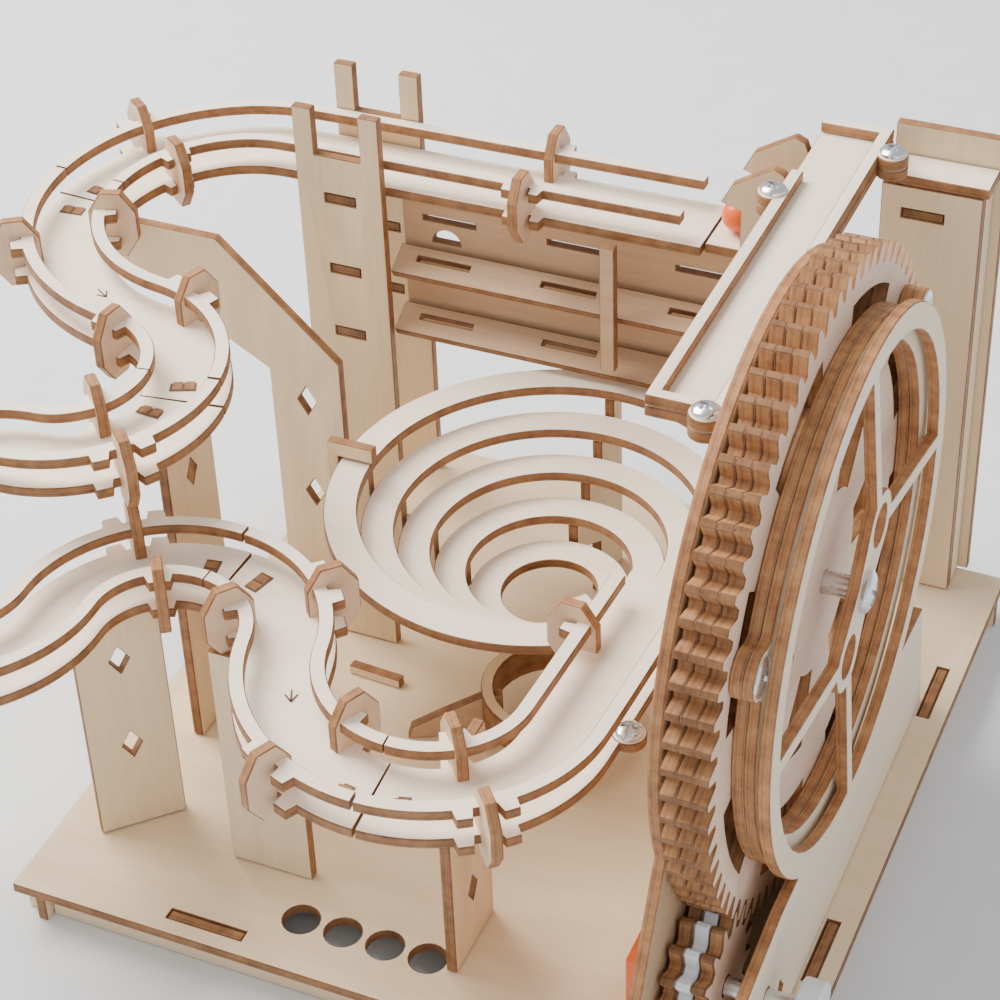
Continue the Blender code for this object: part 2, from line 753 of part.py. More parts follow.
def build_wheel(run):
    outline = gear_outline(WHEEL_Y, WHEEL_Z, WHEEL_TEETH)
    open_middle = [circle(WHEEL_Y, WHEEL_Z, RIM_IN, 48)]
    bore = [circle(WHEEL_Y, WHEEL_Z, AXLE_RADIUS + GAP / 2, 20)]
    names = ("gear_plate_inner", "gear_plate_middle", "gear_plate_outer")
    for index, name in enumerate(names):
        holes = wheel_windows() + (bore if index == GEAR_PLATES - 1 else open_middle)
        if index == GEAR_PLATES - 1:
            for i in range(PANEL_WINDOWS):
                middle = 360.0 * i / PANEL_WINDOWS
                holes.append(ring_window(WHEEL_Y, WHEEL_Z, 24.0, 46.0, middle - 14.0, middle + 14.0, 4))
        board(name, [outline] + holes, "burnt_birch", facing_side(plate_x(index)), run, GEAR_PLY)
    lug_x = gear_face() + GAP
    for index, name in enumerate(("lug_ring_inner", "lug_ring_outer")):
        board(name, [lug_outline(), circle(WHEEL_Y, WHEEL_Z, LUG_IN, 48)], "pale_birch",
              facing_side(lug_x + index * (2.7 + GAP)), run, 2.7)
    hub_x = plate_x(0)
    board("wheel_hub", [circle(WHEEL_Y, WHEEL_Z, HUB_RADIUS, 28)] + bore, "birch",
          facing_side(hub_x), run, plate_x(2) - GAP - hub_x)
    rod("wheel_axle", inner_frame_x() - 4.0, outer_frame_x() + PLY + 1.0, WHEEL_Y, WHEEL_Z,
        AXLE_RADIUS, "steel", run)


def lug_outline():
    """A ring with round lugs for its screws."""
    spread = math.degrees(LUG_RADIUS / LUG_OUT)
    points = []
    for i in range(LUG_COUNT):
        middle = LUG_FIRST + 360.0 * i / LUG_COUNT
        following = middle + 360.0 / LUG_COUNT
        angle = math.radians(middle)
        cu = WHEEL_Y + (LUG_OUT + LUG_REACH) * math.cos(angle)
        cv = WHEEL_Z + (LUG_OUT + LUG_REACH) * math.sin(angle)
        points += arc(cu, cv, LUG_RADIUS, middle - 96.0, middle + 96.0, 10)
        points += arc(WHEEL_Y, WHEEL_Z, LUG_OUT, middle + spread + 1.0, following - spread - 1.0, 14)
    return points


# ---- side frames ---------------------------------------------------------------------------
def inner_frame_x():
    return GEAR_X - RUN_GAP - PLY


def outer_frame_x():
    return gear_face() + 2.0 * (2.7 + GAP) + GAP + RUN_GAP


def build_inner_frame(run):
    """Disc behind the wheel with a foot on the base and a lobe round the pinion shaft."""
    py, pz = pinion_centre()
    tangent = 200.0
    outline = arc(WHEEL_Y, WHEEL_Z, INNER_FRAME_RADIUS, -58.0, tangent, 60)
    lobe = arc(py, pz, INNER_LOBE, 160.0, 222.0, 10)
    outline += lobe
    right = WHEEL_Y + INNER_FRAME_RADIUS * math.cos(math.radians(-58.0))
    outline += [(py - INNER_LOBE * math.cos(math.radians(42.0)), GAP), (right, GAP)]
    holes = [circle(WHEEL_Y, WHEEL_Z, AXLE_RADIUS + GAP, 20), circle(py, pz, 2.8, 16)]
    for start, end in (DROP_SPAN, FEED_SPAN):
        holes.append(ring_window(WHEEL_Y, WHEEL_Z, POCKET_IN, POCKET_OUT, start, end, 5))
    for middle in (0.0, 60.0, 120.0, 180.0, 300.0):
        holes.append(ring_window(WHEEL_Y, WHEEL_Z, 20.0, 50.0, middle - 18.0, middle + 18.0, 5))
    board("inner_side_frame", [outline] + holes, "burnt_birch", facing_side(inner_frame_x()), run)


def build_outer_frame(run):
    """Ring with crossed spokes, growing into a broad foot that stands on the base."""
    py, pz = pinion_centre()
    left_angle = 180.0 + 51.0
    right_angle = -51.0
    outline = arc(WHEEL_Y, WHEEL_Z, OUTER_RING, right_angle, left_angle, 60)
    outline += [(py + 10.0, pz + 19.0), (2.0, PANEL_TOP - 3.0), (2.0, GAP), (PANEL_BACK, GAP),
                (PANEL_BACK_TOP, PANEL_TOP)]
    holes = [circle(WHEEL_Y, WHEEL_Z, AXLE_RADIUS + GAP, 20), circle(py, pz, 2.8, 16)]
    holes += spoke_windows()
    holes.append(diamond(30.0, 12.0, 6.0, 10.0))
    board("outer_side_frame", [outline] + holes, "pale_birch", facing_side(outer_frame_x()), run)


def eye_place(direction):
    angle = math.radians(direction)
    return WHEEL_Y + EYE_REACH * math.cos(angle), WHEEL_Z + EYE_REACH * math.sin(angle)


def spoke_side(eye, ring_direction, side):
    """Angles at which one side of a spoke leaves its eye and meets the ring."""
    angle = math.radians(ring_direction)
    run_u = WHEEL_Y + OUTER_RING_IN * math.cos(angle) - eye[0]
    run_v = WHEEL_Z + OUTER_RING_IN * math.sin(angle) - eye[1]
    leave = math.degrees(math.atan2(run_v, run_u))
    half = SPOKE_WIDTH / 2.0
    at_eye = leave + side * math.degrees(math.asin(half / EYE_RADIUS))
    at_ring = ring_direction + side * math.degrees(math.asin(half / OUTER_RING_IN))
    return at_eye, at_ring


def eye_arc(eye, start, end):
    """Part of an eye's edge, the short way round from start to end."""
    turn = (end - start + 180.0) % 360.0 - 180.0
    return arc(eye[0], eye[1], EYE_RADIUS, start, start + turn, 6)


def spoke_windows():
    """Openings between the hub link, its four spokes and the ring, and the link's own holes."""
    upper = eye_place(EYE_DIRECTION)
    lower = eye_place(EYE_DIRECTION + 180.0)
    up_left, up_right, down_right, down_left = SPOKE_ENDS
    windows = []
    for eye, first, second in ((upper, up_right, up_left), (lower, down_left, down_right)):
        leave, rim_start = spoke_side(eye, first, 1)
        back, rim_end = spoke_side(eye, second, -1)
        rim = arc(WHEEL_Y, WHEEL_Z, OUTER_RING_IN, rim_start, rim_end, 12)
        windows.append(rim + eye_arc(eye, back, leave))
    sides = ((upper, up_left, lower, down_left, 90.0), (lower, down_right, upper, up_right + 360.0, 270.0))
    for eye, first, far, second, turn in sides:
        leave, rim_start = spoke_side(eye, first, 1)
        back, rim_end = spoke_side(far, second, -1)
        square = EYE_DIRECTION + turn
        angle = math.radians(square)
        waist = (WHEEL_Y + LINK_WAIST * math.cos(angle), WHEEL_Z + LINK_WAIST * math.sin(angle))
        rim = arc(WHEEL_Y, WHEEL_Z, OUTER_RING_IN, rim_start, rim_end, 16)
        windows.append(rim + eye_arc(far, back, square) + [waist] + eye_arc(eye, square, leave))
    for eye in (upper, lower):
        windows.append(circle(eye[0], eye[1], EYE_HOLE, 14))
    return windows


# ---- drive ---------------------------------------------------------------------------------
def build_drive(run):
    py, pz = pinion_centre()
    phase = PINION_DIRECTION + 180.0 + 180.0 / PINION_TEETH
    slot = PINION_DIRECTION % (360.0 / WHEEL_TEETH)
    phase += slot * WHEEL_TEETH / PINION_TEETH
    outline = gear_outline(py, pz, PINION_TEETH, phase)
    bore = circle(py, pz, 2.5 + GAP / 2, 16)
    names = ("pinion_plate_inner", "pinion_plastic_gear", "pinion_plate_outer")
    kinds = ("burnt_birch", "white_plastic", "burnt_birch")
    for index, (name, kind) in enumerate(zip(names, kinds)):
        board(name, [outline, bore], kind, facing_side(plate_x(index)), run, GEAR_PLY)
    rod("pinion_shaft", inner_frame_x() + GAP, outer_frame_x() + PLY + 8.0, py, pz, 2.5, "steel", run, 16)
    block("motor_body", (inner_frame_x() - MOTOR_SIZE[0] - GAP, py - MOTOR_DROP, GAP),
          (inner_frame_x() - GAP, py - MOTOR_DROP + MOTOR_SIZE[1], GAP + MOTOR_SIZE[2]),
          "orange_plastic", run)
    rod("drive_knob", outer_frame_x() + PLY + 8.3, outer_frame_x() + PLY + 14.0, py, pz, 8.0,
        "white_plastic", run)


def build_marble(run):
    """The marble waits on the landing board at the head of the track."""
    rings = 8
    count = 14
    radius = MARBLE_RADIUS
    centre = (route_point(TRACK_SEAMS[0])[0] + radius + 2.0, TRACK_START[1],
              LANDING_TOP + GAP + radius)
    verts = [(centre[0], centre[1], centre[2] - radius)]
    for i in range(1, rings):
        polar = math.pi * i / rings
        for j in range(count):
            turn = 2.0 * math.pi * j / count
            verts.append((centre[0] + radius * math.sin(polar) * math.cos(turn),
                          centre[1] + radius * math.sin(polar) * math.sin(turn),
                          centre[2] - radius * math.cos(polar)))
    verts.append((centre[0], centre[1], centre[2] + radius))
    last = len(verts) - 1
    faces = []
    for j in range(count):
        after = (j + 1) % count
        faces.append((0, 1 + after, 1 + j))
        for i in range(rings - 2):
            a, b = 1 + i * count + j, 1 + i * count + after
            faces.append((a, b, b + count, a + count))
        top = 1 + (rings - 2) * count
        faces.append((top + j, top + after, last))
    make_object("marble", verts, faces, "orange_plastic", Matrix(), run)


# ---- whole run -----------------------------------------------------------------------------
def stand_on_floor(run):
    """Moves the run so that its origin is the middle of its footprint at floor level."""
    bpy.context.view_layer.update()
    low = [math.inf] * 3
    high = [-math.inf] * 3
    for obj in run.children:
        for vertex in obj.data.vertices:
            point = obj.matrix_world @ vertex.co
            for axis in range(3):
                low[axis] = min(low[axis], point[axis])
                high[axis] = max(high[axis], point[axis])
    run.location = (-(low[0] + high[0]) / 2.0, -(low[1] + high[1]) / 2.0, -low[2])
    bpy.context.view_layer.update()


def main():
    clear_scene()
    run = bpy.data.objects.new("marble_run", None)
    bpy.context.scene.collection.objects.link(run)
    build_base(run)
    build_skirts(run)
    build_rear(run)
    build_tower(run)
    build_chute(run)
    build_track(run)
    build_supports(run)
    build_funnel(run)
    build_inner_frame(run)
    build_wheel(run)
    build_outer_frame(run)
    build_drive(run)
    build_marble(run)
    stand_on_floor(run)
    print("run origin", [round(value, 6) for value in run.location])


main()
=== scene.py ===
"""Marble run of laser-cut plywood: rails, clips, screws and finishes built round the frame.

Lengths are millimetres in the board frame: X runs right along the front edge of the base plate,
Y runs back, Z runs up, and the origin is the plate's front-left top corner.
"""
import json
import math

import bmesh
import bpy
from mathutils import Matrix, Vector


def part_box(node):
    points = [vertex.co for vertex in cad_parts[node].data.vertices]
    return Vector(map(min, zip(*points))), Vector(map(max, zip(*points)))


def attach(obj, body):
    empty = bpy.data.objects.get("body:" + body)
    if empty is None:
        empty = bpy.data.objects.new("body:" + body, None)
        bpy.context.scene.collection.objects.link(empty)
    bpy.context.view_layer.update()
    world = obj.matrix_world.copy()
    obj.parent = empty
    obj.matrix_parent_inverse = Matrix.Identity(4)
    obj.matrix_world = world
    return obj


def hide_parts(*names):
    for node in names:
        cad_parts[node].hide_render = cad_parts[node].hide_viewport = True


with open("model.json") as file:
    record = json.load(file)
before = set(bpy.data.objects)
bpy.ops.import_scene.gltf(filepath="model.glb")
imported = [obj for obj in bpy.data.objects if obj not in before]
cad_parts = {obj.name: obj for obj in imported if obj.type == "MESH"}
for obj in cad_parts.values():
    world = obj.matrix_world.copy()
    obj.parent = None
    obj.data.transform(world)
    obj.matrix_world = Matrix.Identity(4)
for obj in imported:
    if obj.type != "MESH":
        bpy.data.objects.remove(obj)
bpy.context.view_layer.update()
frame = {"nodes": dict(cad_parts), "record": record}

MM = 0.001
PLY = 3.0
GAP = 0.3
CHAR = 0.28                   # burnt corner along every cut edge
TOOTH_CHAR = 0.45
SHAFT_CHAR = 0.4
UP = Vector((0.0, 0.0, 1.0))

BODY_OF = {node: body for body, nodes in frame["record"]["behaviour"]["bodies"].items()
           for node in nodes}


def box_of(node):
    """A frame node's lowest and highest corners."""
    return [Vector(corner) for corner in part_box(node)]


ORIGIN = box_of("base_plate")[0] + UP * PLY * MM


def place(x, y, z):
    """A board-frame point in metres."""
    return ORIGIN + Vector((x, y, z)) * MM


def new_object(name, data):
    item = bpy.data.objects.new(name, data)
    bpy.context.scene.collection.objects.link(item)
    return item


# ---- node trees for materials --------------------------------------------------------------
class Nodes:
    """Short helper to wire a material's nodes."""

    def __init__(self, name):
        self.material = bpy.data.materials.new(name)
        self.material.use_nodes = True
        self.tree = self.material.node_tree
        self.shader = self.tree.nodes["Principled BSDF"]

    def add(self, kind, **settings):
        node = self.tree.nodes.new(kind)
        for key, value in settings.items():
            setattr(node, key, value)
        return node

    def link(self, source, target):
        self.tree.links.new(source, target)

    def plug(self, socket, value):
        """Set a socket to a number, or wire another socket to it."""
        if isinstance(value, float):
            socket.default_value = value
        else:
            self.link(value, socket)

    def spots(self, scale=(1.0, 1.0, 1.0)):
        """Object coordinates in metres, scaled per axis."""
        coords = self.add("ShaderNodeTexCoord")
        mapping = self.add("ShaderNodeMapping")
        mapping.inputs["Scale"].default_value = scale
        self.link(coords.outputs["Object"], mapping.inputs["Vector"])
        return mapping.outputs["Vector"]

    def noise(self, vector, scale, detail, roughness):
        node = self.add("ShaderNodeTexNoise")
        node.inputs["Scale"].default_value = scale
        node.inputs["Detail"].default_value = detail
        node.inputs["Roughness"].default_value = roughness
        self.link(vector, node.inputs["Vector"])
        return node.outputs["Fac"]

    def ramp(self, factor, stops):
        node = self.add("ShaderNodeValToRGB")
        elements = node.color_ramp.elements
        while len(elements) < len(stops):
            elements.new(0.5)
        for element, (position, colour) in zip(elements, stops):
            element.position = position
            element.color = (*colour, 1.0)
        self.link(factor, node.inputs["Fac"])
        return node.outputs["Color"]

    def mix(self, factor, first, second):
        node = self.add("ShaderNodeMix", data_type="RGBA")
        self.plug(node.inputs["Factor"], factor)
        self.link(first, node.inputs["A"])
        self.link(second, node.inputs["B"])
        return node.outputs["Result"]

    def maths(self, operation, first, second):
        node = self.add("ShaderNodeMath", operation=operation)
        for socket, value in zip(node.inputs, (first, second)):
            self.plug(socket, value)
        return node.outputs["Value"]

    def attribute(self, name):
        node = self.add("ShaderNodeAttribute", attribute_name=name, attribute_type="GEOMETRY")
        return node.outputs["Fac"]

    def bump(self, height, strength, distance):
        node = self.add("ShaderNodeBump")
        node.inputs["Strength"].default_value = strength
        node.inputs["Distance"].default_value = distance
        self.link(height, node.inputs["Height"])
        self.link(node.outputs["Normal"], self.shader.inputs["Normal"])


# Scorched cut edges: light plies between darker glue lines, browner where the laser lingered.
EDGE_COLOURS = ((0.44, 0.225, 0.095), (0.31, 0.140, 0.055), (0.150, 0.058, 0.022))
LIGHT_PLY, MID_PLY, GLUE = range(3)
PLY_LAYERS = ((0.06, GLUE), (0.20, LIGHT_PLY), (0.36, MID_PLY), (0.42, GLUE), (0.50, MID_PLY),
              (0.66, LIGHT_PLY), (0.74, MID_PLY), (0.86, LIGHT_PLY), (1.0, GLUE))
# The darkest edge colour is burn, and painted shade in the gear plates' grooves and the key slots.
BURN_AND_SHADE_SCALE = 0.42                  # how much light is left where an edge is darkest
SOOT_SHARE = 0.62             # how much of an edge's colour the soot sets
PLY_WOBBLE = 0.16             # how far the glue lines wander, as a share of the board
GRAIN = (45.0, 800.0)         # noise per metre along and across the grain
FIGURE = (9.0, 120.0)
FIGURE_SHARE = 0.45
WARMTH = (0.97, 0.90, 0.80)   # tint of the warmer patches on a face
BOARD_SPECULAR = 0.35
BOARD_RELIEF = 0.00012


def grey(value):
    return (value, value, value)


def drawn_out(axis, scales):
    """Noise scales that draw a pattern out along one axis."""
    along, across = scales
    return tuple(along if name == axis else across for name in "xyz")


def edge_shades(strength):
    return [tuple(value * strength for value in colour) for colour in EDGE_COLOURS]


def plywood(name, light, dark, grain, edge_painted_light):
    """Birch faces with fine grain along one axis, and burnt, layered edges whose brightness per
    board is painted light and shade.
    """
    nodes = Nodes(name)
    fine = nodes.noise(nodes.spots(drawn_out(grain, GRAIN)), 1.0, 5.0, 0.6)
    cloudy = nodes.noise(nodes.spots(), 26.0, 3.0, 0.5)
    figure = nodes.noise(nodes.spots(drawn_out(grain, FIGURE)), 1.0, 3.0, 0.5)
    middle = tuple((a + b) / 2.0 for a, b in zip(light, dark))
    grain_colour = nodes.ramp(fine, ((0.30, dark), (0.52, middle), (0.72, light)))
    broad_colour = nodes.ramp(figure, ((0.32, dark), (0.62, light)))
    face = nodes.mix(FIGURE_SHARE, grain_colour, broad_colour)
    warm = tuple(value * tint for value, tint in zip(light, WARMTH))
    face = nodes.mix(nodes.maths("MULTIPLY", cloudy, 0.5), face,
                     nodes.ramp(cloudy, ((0.35, light), (0.70, warm))))
    wobble = nodes.noise(nodes.spots(), 420.0, 3.0, 0.6)
    layered = nodes.maths("ADD", nodes.attribute("depth"),
                          nodes.maths("MULTIPLY", wobble, PLY_WOBBLE))
    shades = edge_shades(edge_painted_light)
    plies = nodes.ramp(layered, [(spot, shades[layer]) for spot, layer in PLY_LAYERS])
    soot = nodes.noise(nodes.spots(), 190.0, 5.0, 0.65)
    darkened_edges = nodes.mix(SOOT_SHARE, plies, nodes.ramp(soot, tuple(zip((0.34, 0.50, 0.68), shades))))
    burn_and_shade_colour = nodes.ramp(soot, tuple(zip((0.30, 0.52, 0.72), edge_shades(edge_painted_light * BURN_AND_SHADE_SCALE))))
    # Edges darken further where a piece asks for it: burn, and painted shade in the gear grooves
    # and the key slots.
    darkened_edges = nodes.mix(nodes.attribute("burn_and_shade"), darkened_edges, burn_and_shade_colour)
    scorch = nodes.attribute("scorch")
    nodes.link(nodes.mix(scorch, face, darkened_edges), nodes.shader.inputs["Base Color"])
    nodes.link(nodes.ramp(fine, ((0.3, grey(0.66)), (0.7, grey(0.50)))),
               nodes.shader.inputs["Roughness"])
    nodes.shader.inputs["Specular IOR Level"].default_value = BOARD_SPECULAR
    nodes.bump(nodes.maths("ADD", fine, nodes.maths("MULTIPLY", soot, scorch)), 0.22, BOARD_RELIEF)
    return nodes.material


def plated_steel():
    """Bright plating with fine wear marks."""
    nodes = Nodes("plated_steel")
    marks = nodes.noise(nodes.spots(), 900.0, 3.0, 0.5)
    nodes.link(nodes.ramp(marks, ((0.3, (0.66, 0.67, 0.69)), (0.7, (0.78, 0.79, 0.81)))),
               nodes.shader.inputs["Base Color"])
    nodes.shader.inputs["Metallic"].default_value = 1.0
    nodes.link(nodes.ramp(marks, ((0.3, grey(0.30)), (0.7, grey(0.18)))),
               nodes.shader.inputs["Roughness"])
    nodes.bump(marks, 0.08, 0.00005)
    return nodes.material


def moulded(name, light, dark, roughness):
    """Moulded plastic with faint flow marks."""
    nodes = Nodes(name)
    flow = nodes.noise(nodes.spots(), 140.0, 3.0, 0.5)
    grit = nodes.noise(nodes.spots(), 2600.0, 2.0, 0.5)
    nodes.link(nodes.ramp(flow, ((0.3, dark), (0.7, light))), nodes.shader.inputs["Base Color"])
    nodes.shader.inputs["Roughness"].default_value = roughness
    nodes.shader.inputs["Coat Weight"].default_value = 0.25
    nodes.bump(grit, 0.06, 0.00004)
    return nodes.material


# Each board's face: the light and the dark of its grain.
CREAM, CREAM_DARK = (0.93, 0.83, 0.72), (0.83, 0.70, 0.56)
TAN, TAN_DARK = (0.84, 0.68, 0.47), (0.72, 0.55, 0.35)
POST, POST_DARK = (0.82, 0.65, 0.43), (0.69, 0.52, 0.32)
PINK, PINK_DARK = (0.82, 0.62, 0.49), (0.69, 0.48, 0.35)
SIDE, SIDE_DARK = (0.88, 0.76, 0.60), (0.78, 0.63, 0.45)
# The inner side frame's face colour is darkened as painted shade, for the inside of the wheel.
INNER_PAINTED_SHADE, INNER_PAINTED_SHADE_DARK = (0.56, 0.39, 0.24), (0.42, 0.27, 0.15)
# The rack's face colour is darkened as painted shade, for the shadow under the track; the tab ends
# and the bowl gusset share this finish.
RACK_PAINTED_SHADE, RACK_PAINTED_SHADE_DARK = (0.64, 0.44, 0.28), (0.47, 0.30, 0.17)

# Each finish's last number scales its edges' colour per board: painted light on lit boards such as
# the side frames and the wheel, painted shade on the rack.
FINISH = {
    "track": plywood("track_birch", CREAM, CREAM_DARK, "x", 0.85),
    "base": plywood("base_birch", TAN, TAN_DARK, "x", 0.80),
    "upright": plywood("upright_birch", POST, POST_DARK, "z", 0.85),
    "rack": plywood("rack_birch_painted_shade", RACK_PAINTED_SHADE, RACK_PAINTED_SHADE_DARK, "x", 0.75),
    "wheel": plywood("wheel_birch", PINK, PINK_DARK, "y", 1.20),
    "side": plywood("side_birch", SIDE, SIDE_DARK, "y", 1.30),
    "inner": plywood("inner_birch_painted_shade", INNER_PAINTED_SHADE, INNER_PAINTED_SHADE_DARK, "y", 1.10),
    "chute": plywood("chute_birch", CREAM, CREAM_DARK, "y", 0.95),
    "clip": plywood("clip_birch", (0.78, 0.57, 0.40), (0.64, 0.44, 0.28), "z", 1.05),
    "steel": plated_steel(),
    "white": moulded("white_plastic", (0.86, 0.87, 0.90), (0.76, 0.78, 0.82), 0.32),
    "orange": moulded("orange_plastic", (0.95, 0.17, 0.01), (0.88, 0.12, 0.005), 0.34),
}

FINISH_RULES = (              # the first text that a node's name holds sets its finish
    ("track_", "track"), ("spiral", "track"), ("base_plate", "base"), ("skirt", "base"),
    ("fork_", "upright"), ("tower_cap", "chute"), ("tower_", "upright"), ("support_", "upright"),
    ("funnel_comb", "upright"), ("gate_", "upright"), ("landing", "track"), ("rack_", "rack"),
    ("chute_", "chute"), ("catch_bowl", "upright"), ("gear_plate", "wheel"),
    ("pinion_plate", "wheel"), ("lug_ring", "side"), ("wheel_hub", "wheel"),
    ("outer_side", "side"), ("inner_side", "inner"), ("wheel_axle", "steel"),
    ("pinion_shaft", "steel"), ("plastic_gear", "white"), ("drive_knob", "white"),
    ("motor", "orange"), ("marble", "orange"))


def finish_for(node):
    for text, finish in FINISH_RULES:
        if text in node:
            return FINISH[finish]
    raise ValueError(node)


# ---- turning meshes into pieces ------------------------------------------------------------
def settle(name, mesh, material, body, nodes=()):
    """Link a finished mesh, let it ride, and hide the frame nodes it stands for."""
    mesh.materials.clear()
    mesh.materials.append(material)
    mesh.polygons.foreach_set("material_index", [0] * len(mesh.polygons))
    piece = new_object(name, mesh)
    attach(piece, body)
    if nodes:
        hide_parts(*nodes)


def soften(mesh, angle=32.0):
    mesh.shade_smooth()
    mesh.set_sharp_from_angle(angle=math.radians(angle))


def store(mesh, name, domain, values):
    mesh.attributes.new(name, "FLOAT", domain).data.foreach_set("value", values)


def mesh_from(name, work):
    """Turn finished editing data into a mesh."""
    mesh = bpy.data.meshes.new(name)
    work.to_mesh(mesh)
    work.free()
    return mesh


def edges_over(work, degrees):
    """The edges at which a shape turns by more than an angle."""
    return [edge for edge in work.edges
            if len(edge.link_faces) == 2 and edge.calc_face_angle(0.0) > math.radians(degrees)]


def burn_edges(work, edges, char):
    """Cut edges back to a burnt corner, and give the new faces."""
    return bmesh.ops.bevel(work, geom=edges, offset=char * MM, offset_type="OFFSET", segments=1,
                           profile=0.5, affect="EDGES", clamp_overlap=True)["faces"]


def board_axis(mesh):
    """The direction that most of a board's surface faces."""
    totals = {}
    for polygon in mesh.polygons:
        normal = polygon.normal
        if max(normal, key=abs) < 0.0:
            normal = -normal
        key = tuple(round(value, 1) + 0.0 for value in normal)
        entry = totals.setdefault(key, [0.0, Vector()])
        entry[0] += polygon.area
        entry[1] += normal * polygon.area
    return max(totals.values(), key=lambda entry: entry[0])[1].normalized()


FLAT_ENOUGH = 0.97            # a face this near square to the board's axis is its face, not an edge
TOOTH_TIP = 0.4               # how deep the darker tip of a tooth is
TOOTH_SIDE = 0.3              # a face turned this far along the axle is a tooth's side
# Gear teeth: the sides facing the next plate get painted shade for the groove between plates; the
# tips get burn and painted shade.
SIDE_BURN_AND_SHADE, TIP_BURN_AND_SHADE, ROOT_BURN_AND_SHADE = 1.0, 0.75, 0.12


def mark_plies(mesh, axis):
    """Store where a surface is a cut edge, and how deep in the board each point lies."""
    heights = [vertex.co.dot(axis) for vertex in mesh.vertices]
    low, high = min(heights), max(heights)
    store(mesh, "depth", "POINT", [(height - low) / (high - low) for height in heights])
    store(mesh, "scorch", "FACE", [0.0 if abs(polygon.normal.dot(axis)) > FLAT_ENOUGH else 1.0
                                   for polygon in mesh.polygons])


def burn_and_shade_teeth(mesh, node):
    """Darken the tips of a gear's teeth, burnt and painted shade both, and paint shade into the
    grooves between its plates.
    """
    low, high = box_of(node)
    middle = (low + high) / 2.0
    tip = (high.y - low.y) / 2.0 - TOOTH_TIP * MM
    values = []
    for polygon in mesh.polygons:
        out = polygon.center - middle
        out.x = 0.0
        if abs(polygon.normal.x) > TOOTH_SIDE:
            values.append(SIDE_BURN_AND_SHADE)
        else:
            values.append(TIP_BURN_AND_SHADE if out.length > tip else ROOT_BURN_AND_SHADE)
    store(mesh, "burn_and_shade", "FACE", values)


WELD = 0.000002
FLAT_JOIN = 0.8               # degrees: faces that meet flatter than this become one
CORNER = 40.0                 # degrees: sharper corners are burnt


def dress(node, char=CHAR):
    """Copy a frame node's board, and burn its corners."""
    work = bmesh.new()
    work.from_mesh(frame["nodes"][node].data)
    bmesh.ops.remove_doubles(work, verts=work.verts, dist=WELD)
    bmesh.ops.dissolve_limit(work, angle_limit=math.radians(FLAT_JOIN), verts=work.verts,
                             edges=work.edges)
    burn_edges(work, edges_over(work, CORNER), char)
    mesh = mesh_from(node + "_board", work)
    mark_plies(mesh, board_axis(frame["nodes"][node].data))
    if "gear_plate" in node or "pinion_plate" in node:
        burn_and_shade_teeth(mesh, node)
    soften(mesh)
    settle(node + "_board", mesh, finish_for(node), BODY_OF[node], (node,))


# ---- track ---------------------------------------------------------------------------------
TRACK_WIDTH = 24.0
RAIL_WIDTH = 4.0
RAIL_LIFT = 9.0
TRACK_START = (134.0, 198.0)
TRACK_HEADING = 180.0
TRACK_MOVES = ((137.0, 0.0), (142.0, 176.4), (89.0, -181.0), (44.0, 90.0), (12.0, 0.0),
               (74.8, 153.0), (24.7, 37.7), (92.1, -174.6), (106.5, 166.5), (72.0, 0.0))
TRACK_HEIGHTS = ((0.0, 121.0), (137.0, 120.0), (279.0, 114.0), (368.0, 107.0), (499.0, 85.0),
                 (524.0, 83.0), (616.0, 79.0), (722.0, 71.8), (793.0, 70.4))
TRACK_SEAMS = (5.5, 207.0, 317.5, 575.5, 668.0, 780.0)
TRACK_PARTS = ("straight", "s_bend", "loop", "lower_bend", "run_in")
RAIL_DELAY = 6.0              # the first rails start this far after their floor
FLOOR_LEAD = 13.0             # the last floor runs on past its rails, into the spiral
SMOOTH_STEP = 2.0
SMOOTHING = (-16.0, -8.0, 0.0, 8.0, 16.0)     # spots whose heights are averaged
SEAM = 0.7                    # what shows between two track parts, burnt corners included
# Each clip is (distance along the track, side), and left is side 1.
CLIPS = ((59.0, 1), (59.0, -1), (180.0, 1), (180.0, -1), (224.0, 1), (236.0, -1), (287.0, 1),
         (281.0, -1), (343.0, 1), (343.0, -1), (395.0, 1), (395.0, -1), (440.0, 1), (440.0, -1),
         (486.0, 1), (490.0, -1), (553.0, 1), (556.0, -1), (598.0, 1), (594.0, -1), (650.0, 1),
         (650.0, -1), (692.0, 1), (692.0, -1), (759.0, 1))
EAR_NEAR = 2.3                # an ear starts and ends this far from its clip's middle
EAR_FAR = 6.0
EAR_REACH = 3.2               # how far it stands out, and how soon it gets there
EAR_RAMP = 0.5


def route_point(distance):
    """Place and heading at a distance along the track's centre line."""
    x, y = TRACK_START
    heading = math.radians(TRACK_HEADING)
    left = distance
    for length, turn in TRACK_MOVES:
        part = min(left, length)
        bend = math.radians(turn) * part / length
        if abs(bend) < 1e-9:
            x += part * math.cos(heading)
            y += part * math.sin(heading)
        else:
            radius = part / bend
            x += radius * (math.sin(heading + bend) - math.sin(heading))
            y -= radius * (math.cos(heading + bend) - math.cos(heading))
        heading += bend
        left -= part
        if left <= 0.0:
            break
    return x, y, heading


def floor_height(distance):
    """Height of the floor's top at a distance, averaged so that the slope changes softly."""
    total = 0.0
    for shift in SMOOTHING:
        spot = distance + shift
        value = TRACK_HEIGHTS[-1][1]
        for (s0, z0), (s1, z1) in zip(TRACK_HEIGHTS, TRACK_HEIGHTS[1:]):
            if spot <= s1:
                value = z0 + (z1 - z0) * (spot - s0) / (s1 - s0)
                break
        total += value
    return total / len(SMOOTHING)


def on_track(distance, offset, lift):
    """A point left of the centre line and above the floor's top."""
    x, y, heading = route_point(distance)
    return place(x - offset * math.sin(heading), y + offset * math.cos(heading),
                 floor_height(distance) + lift)


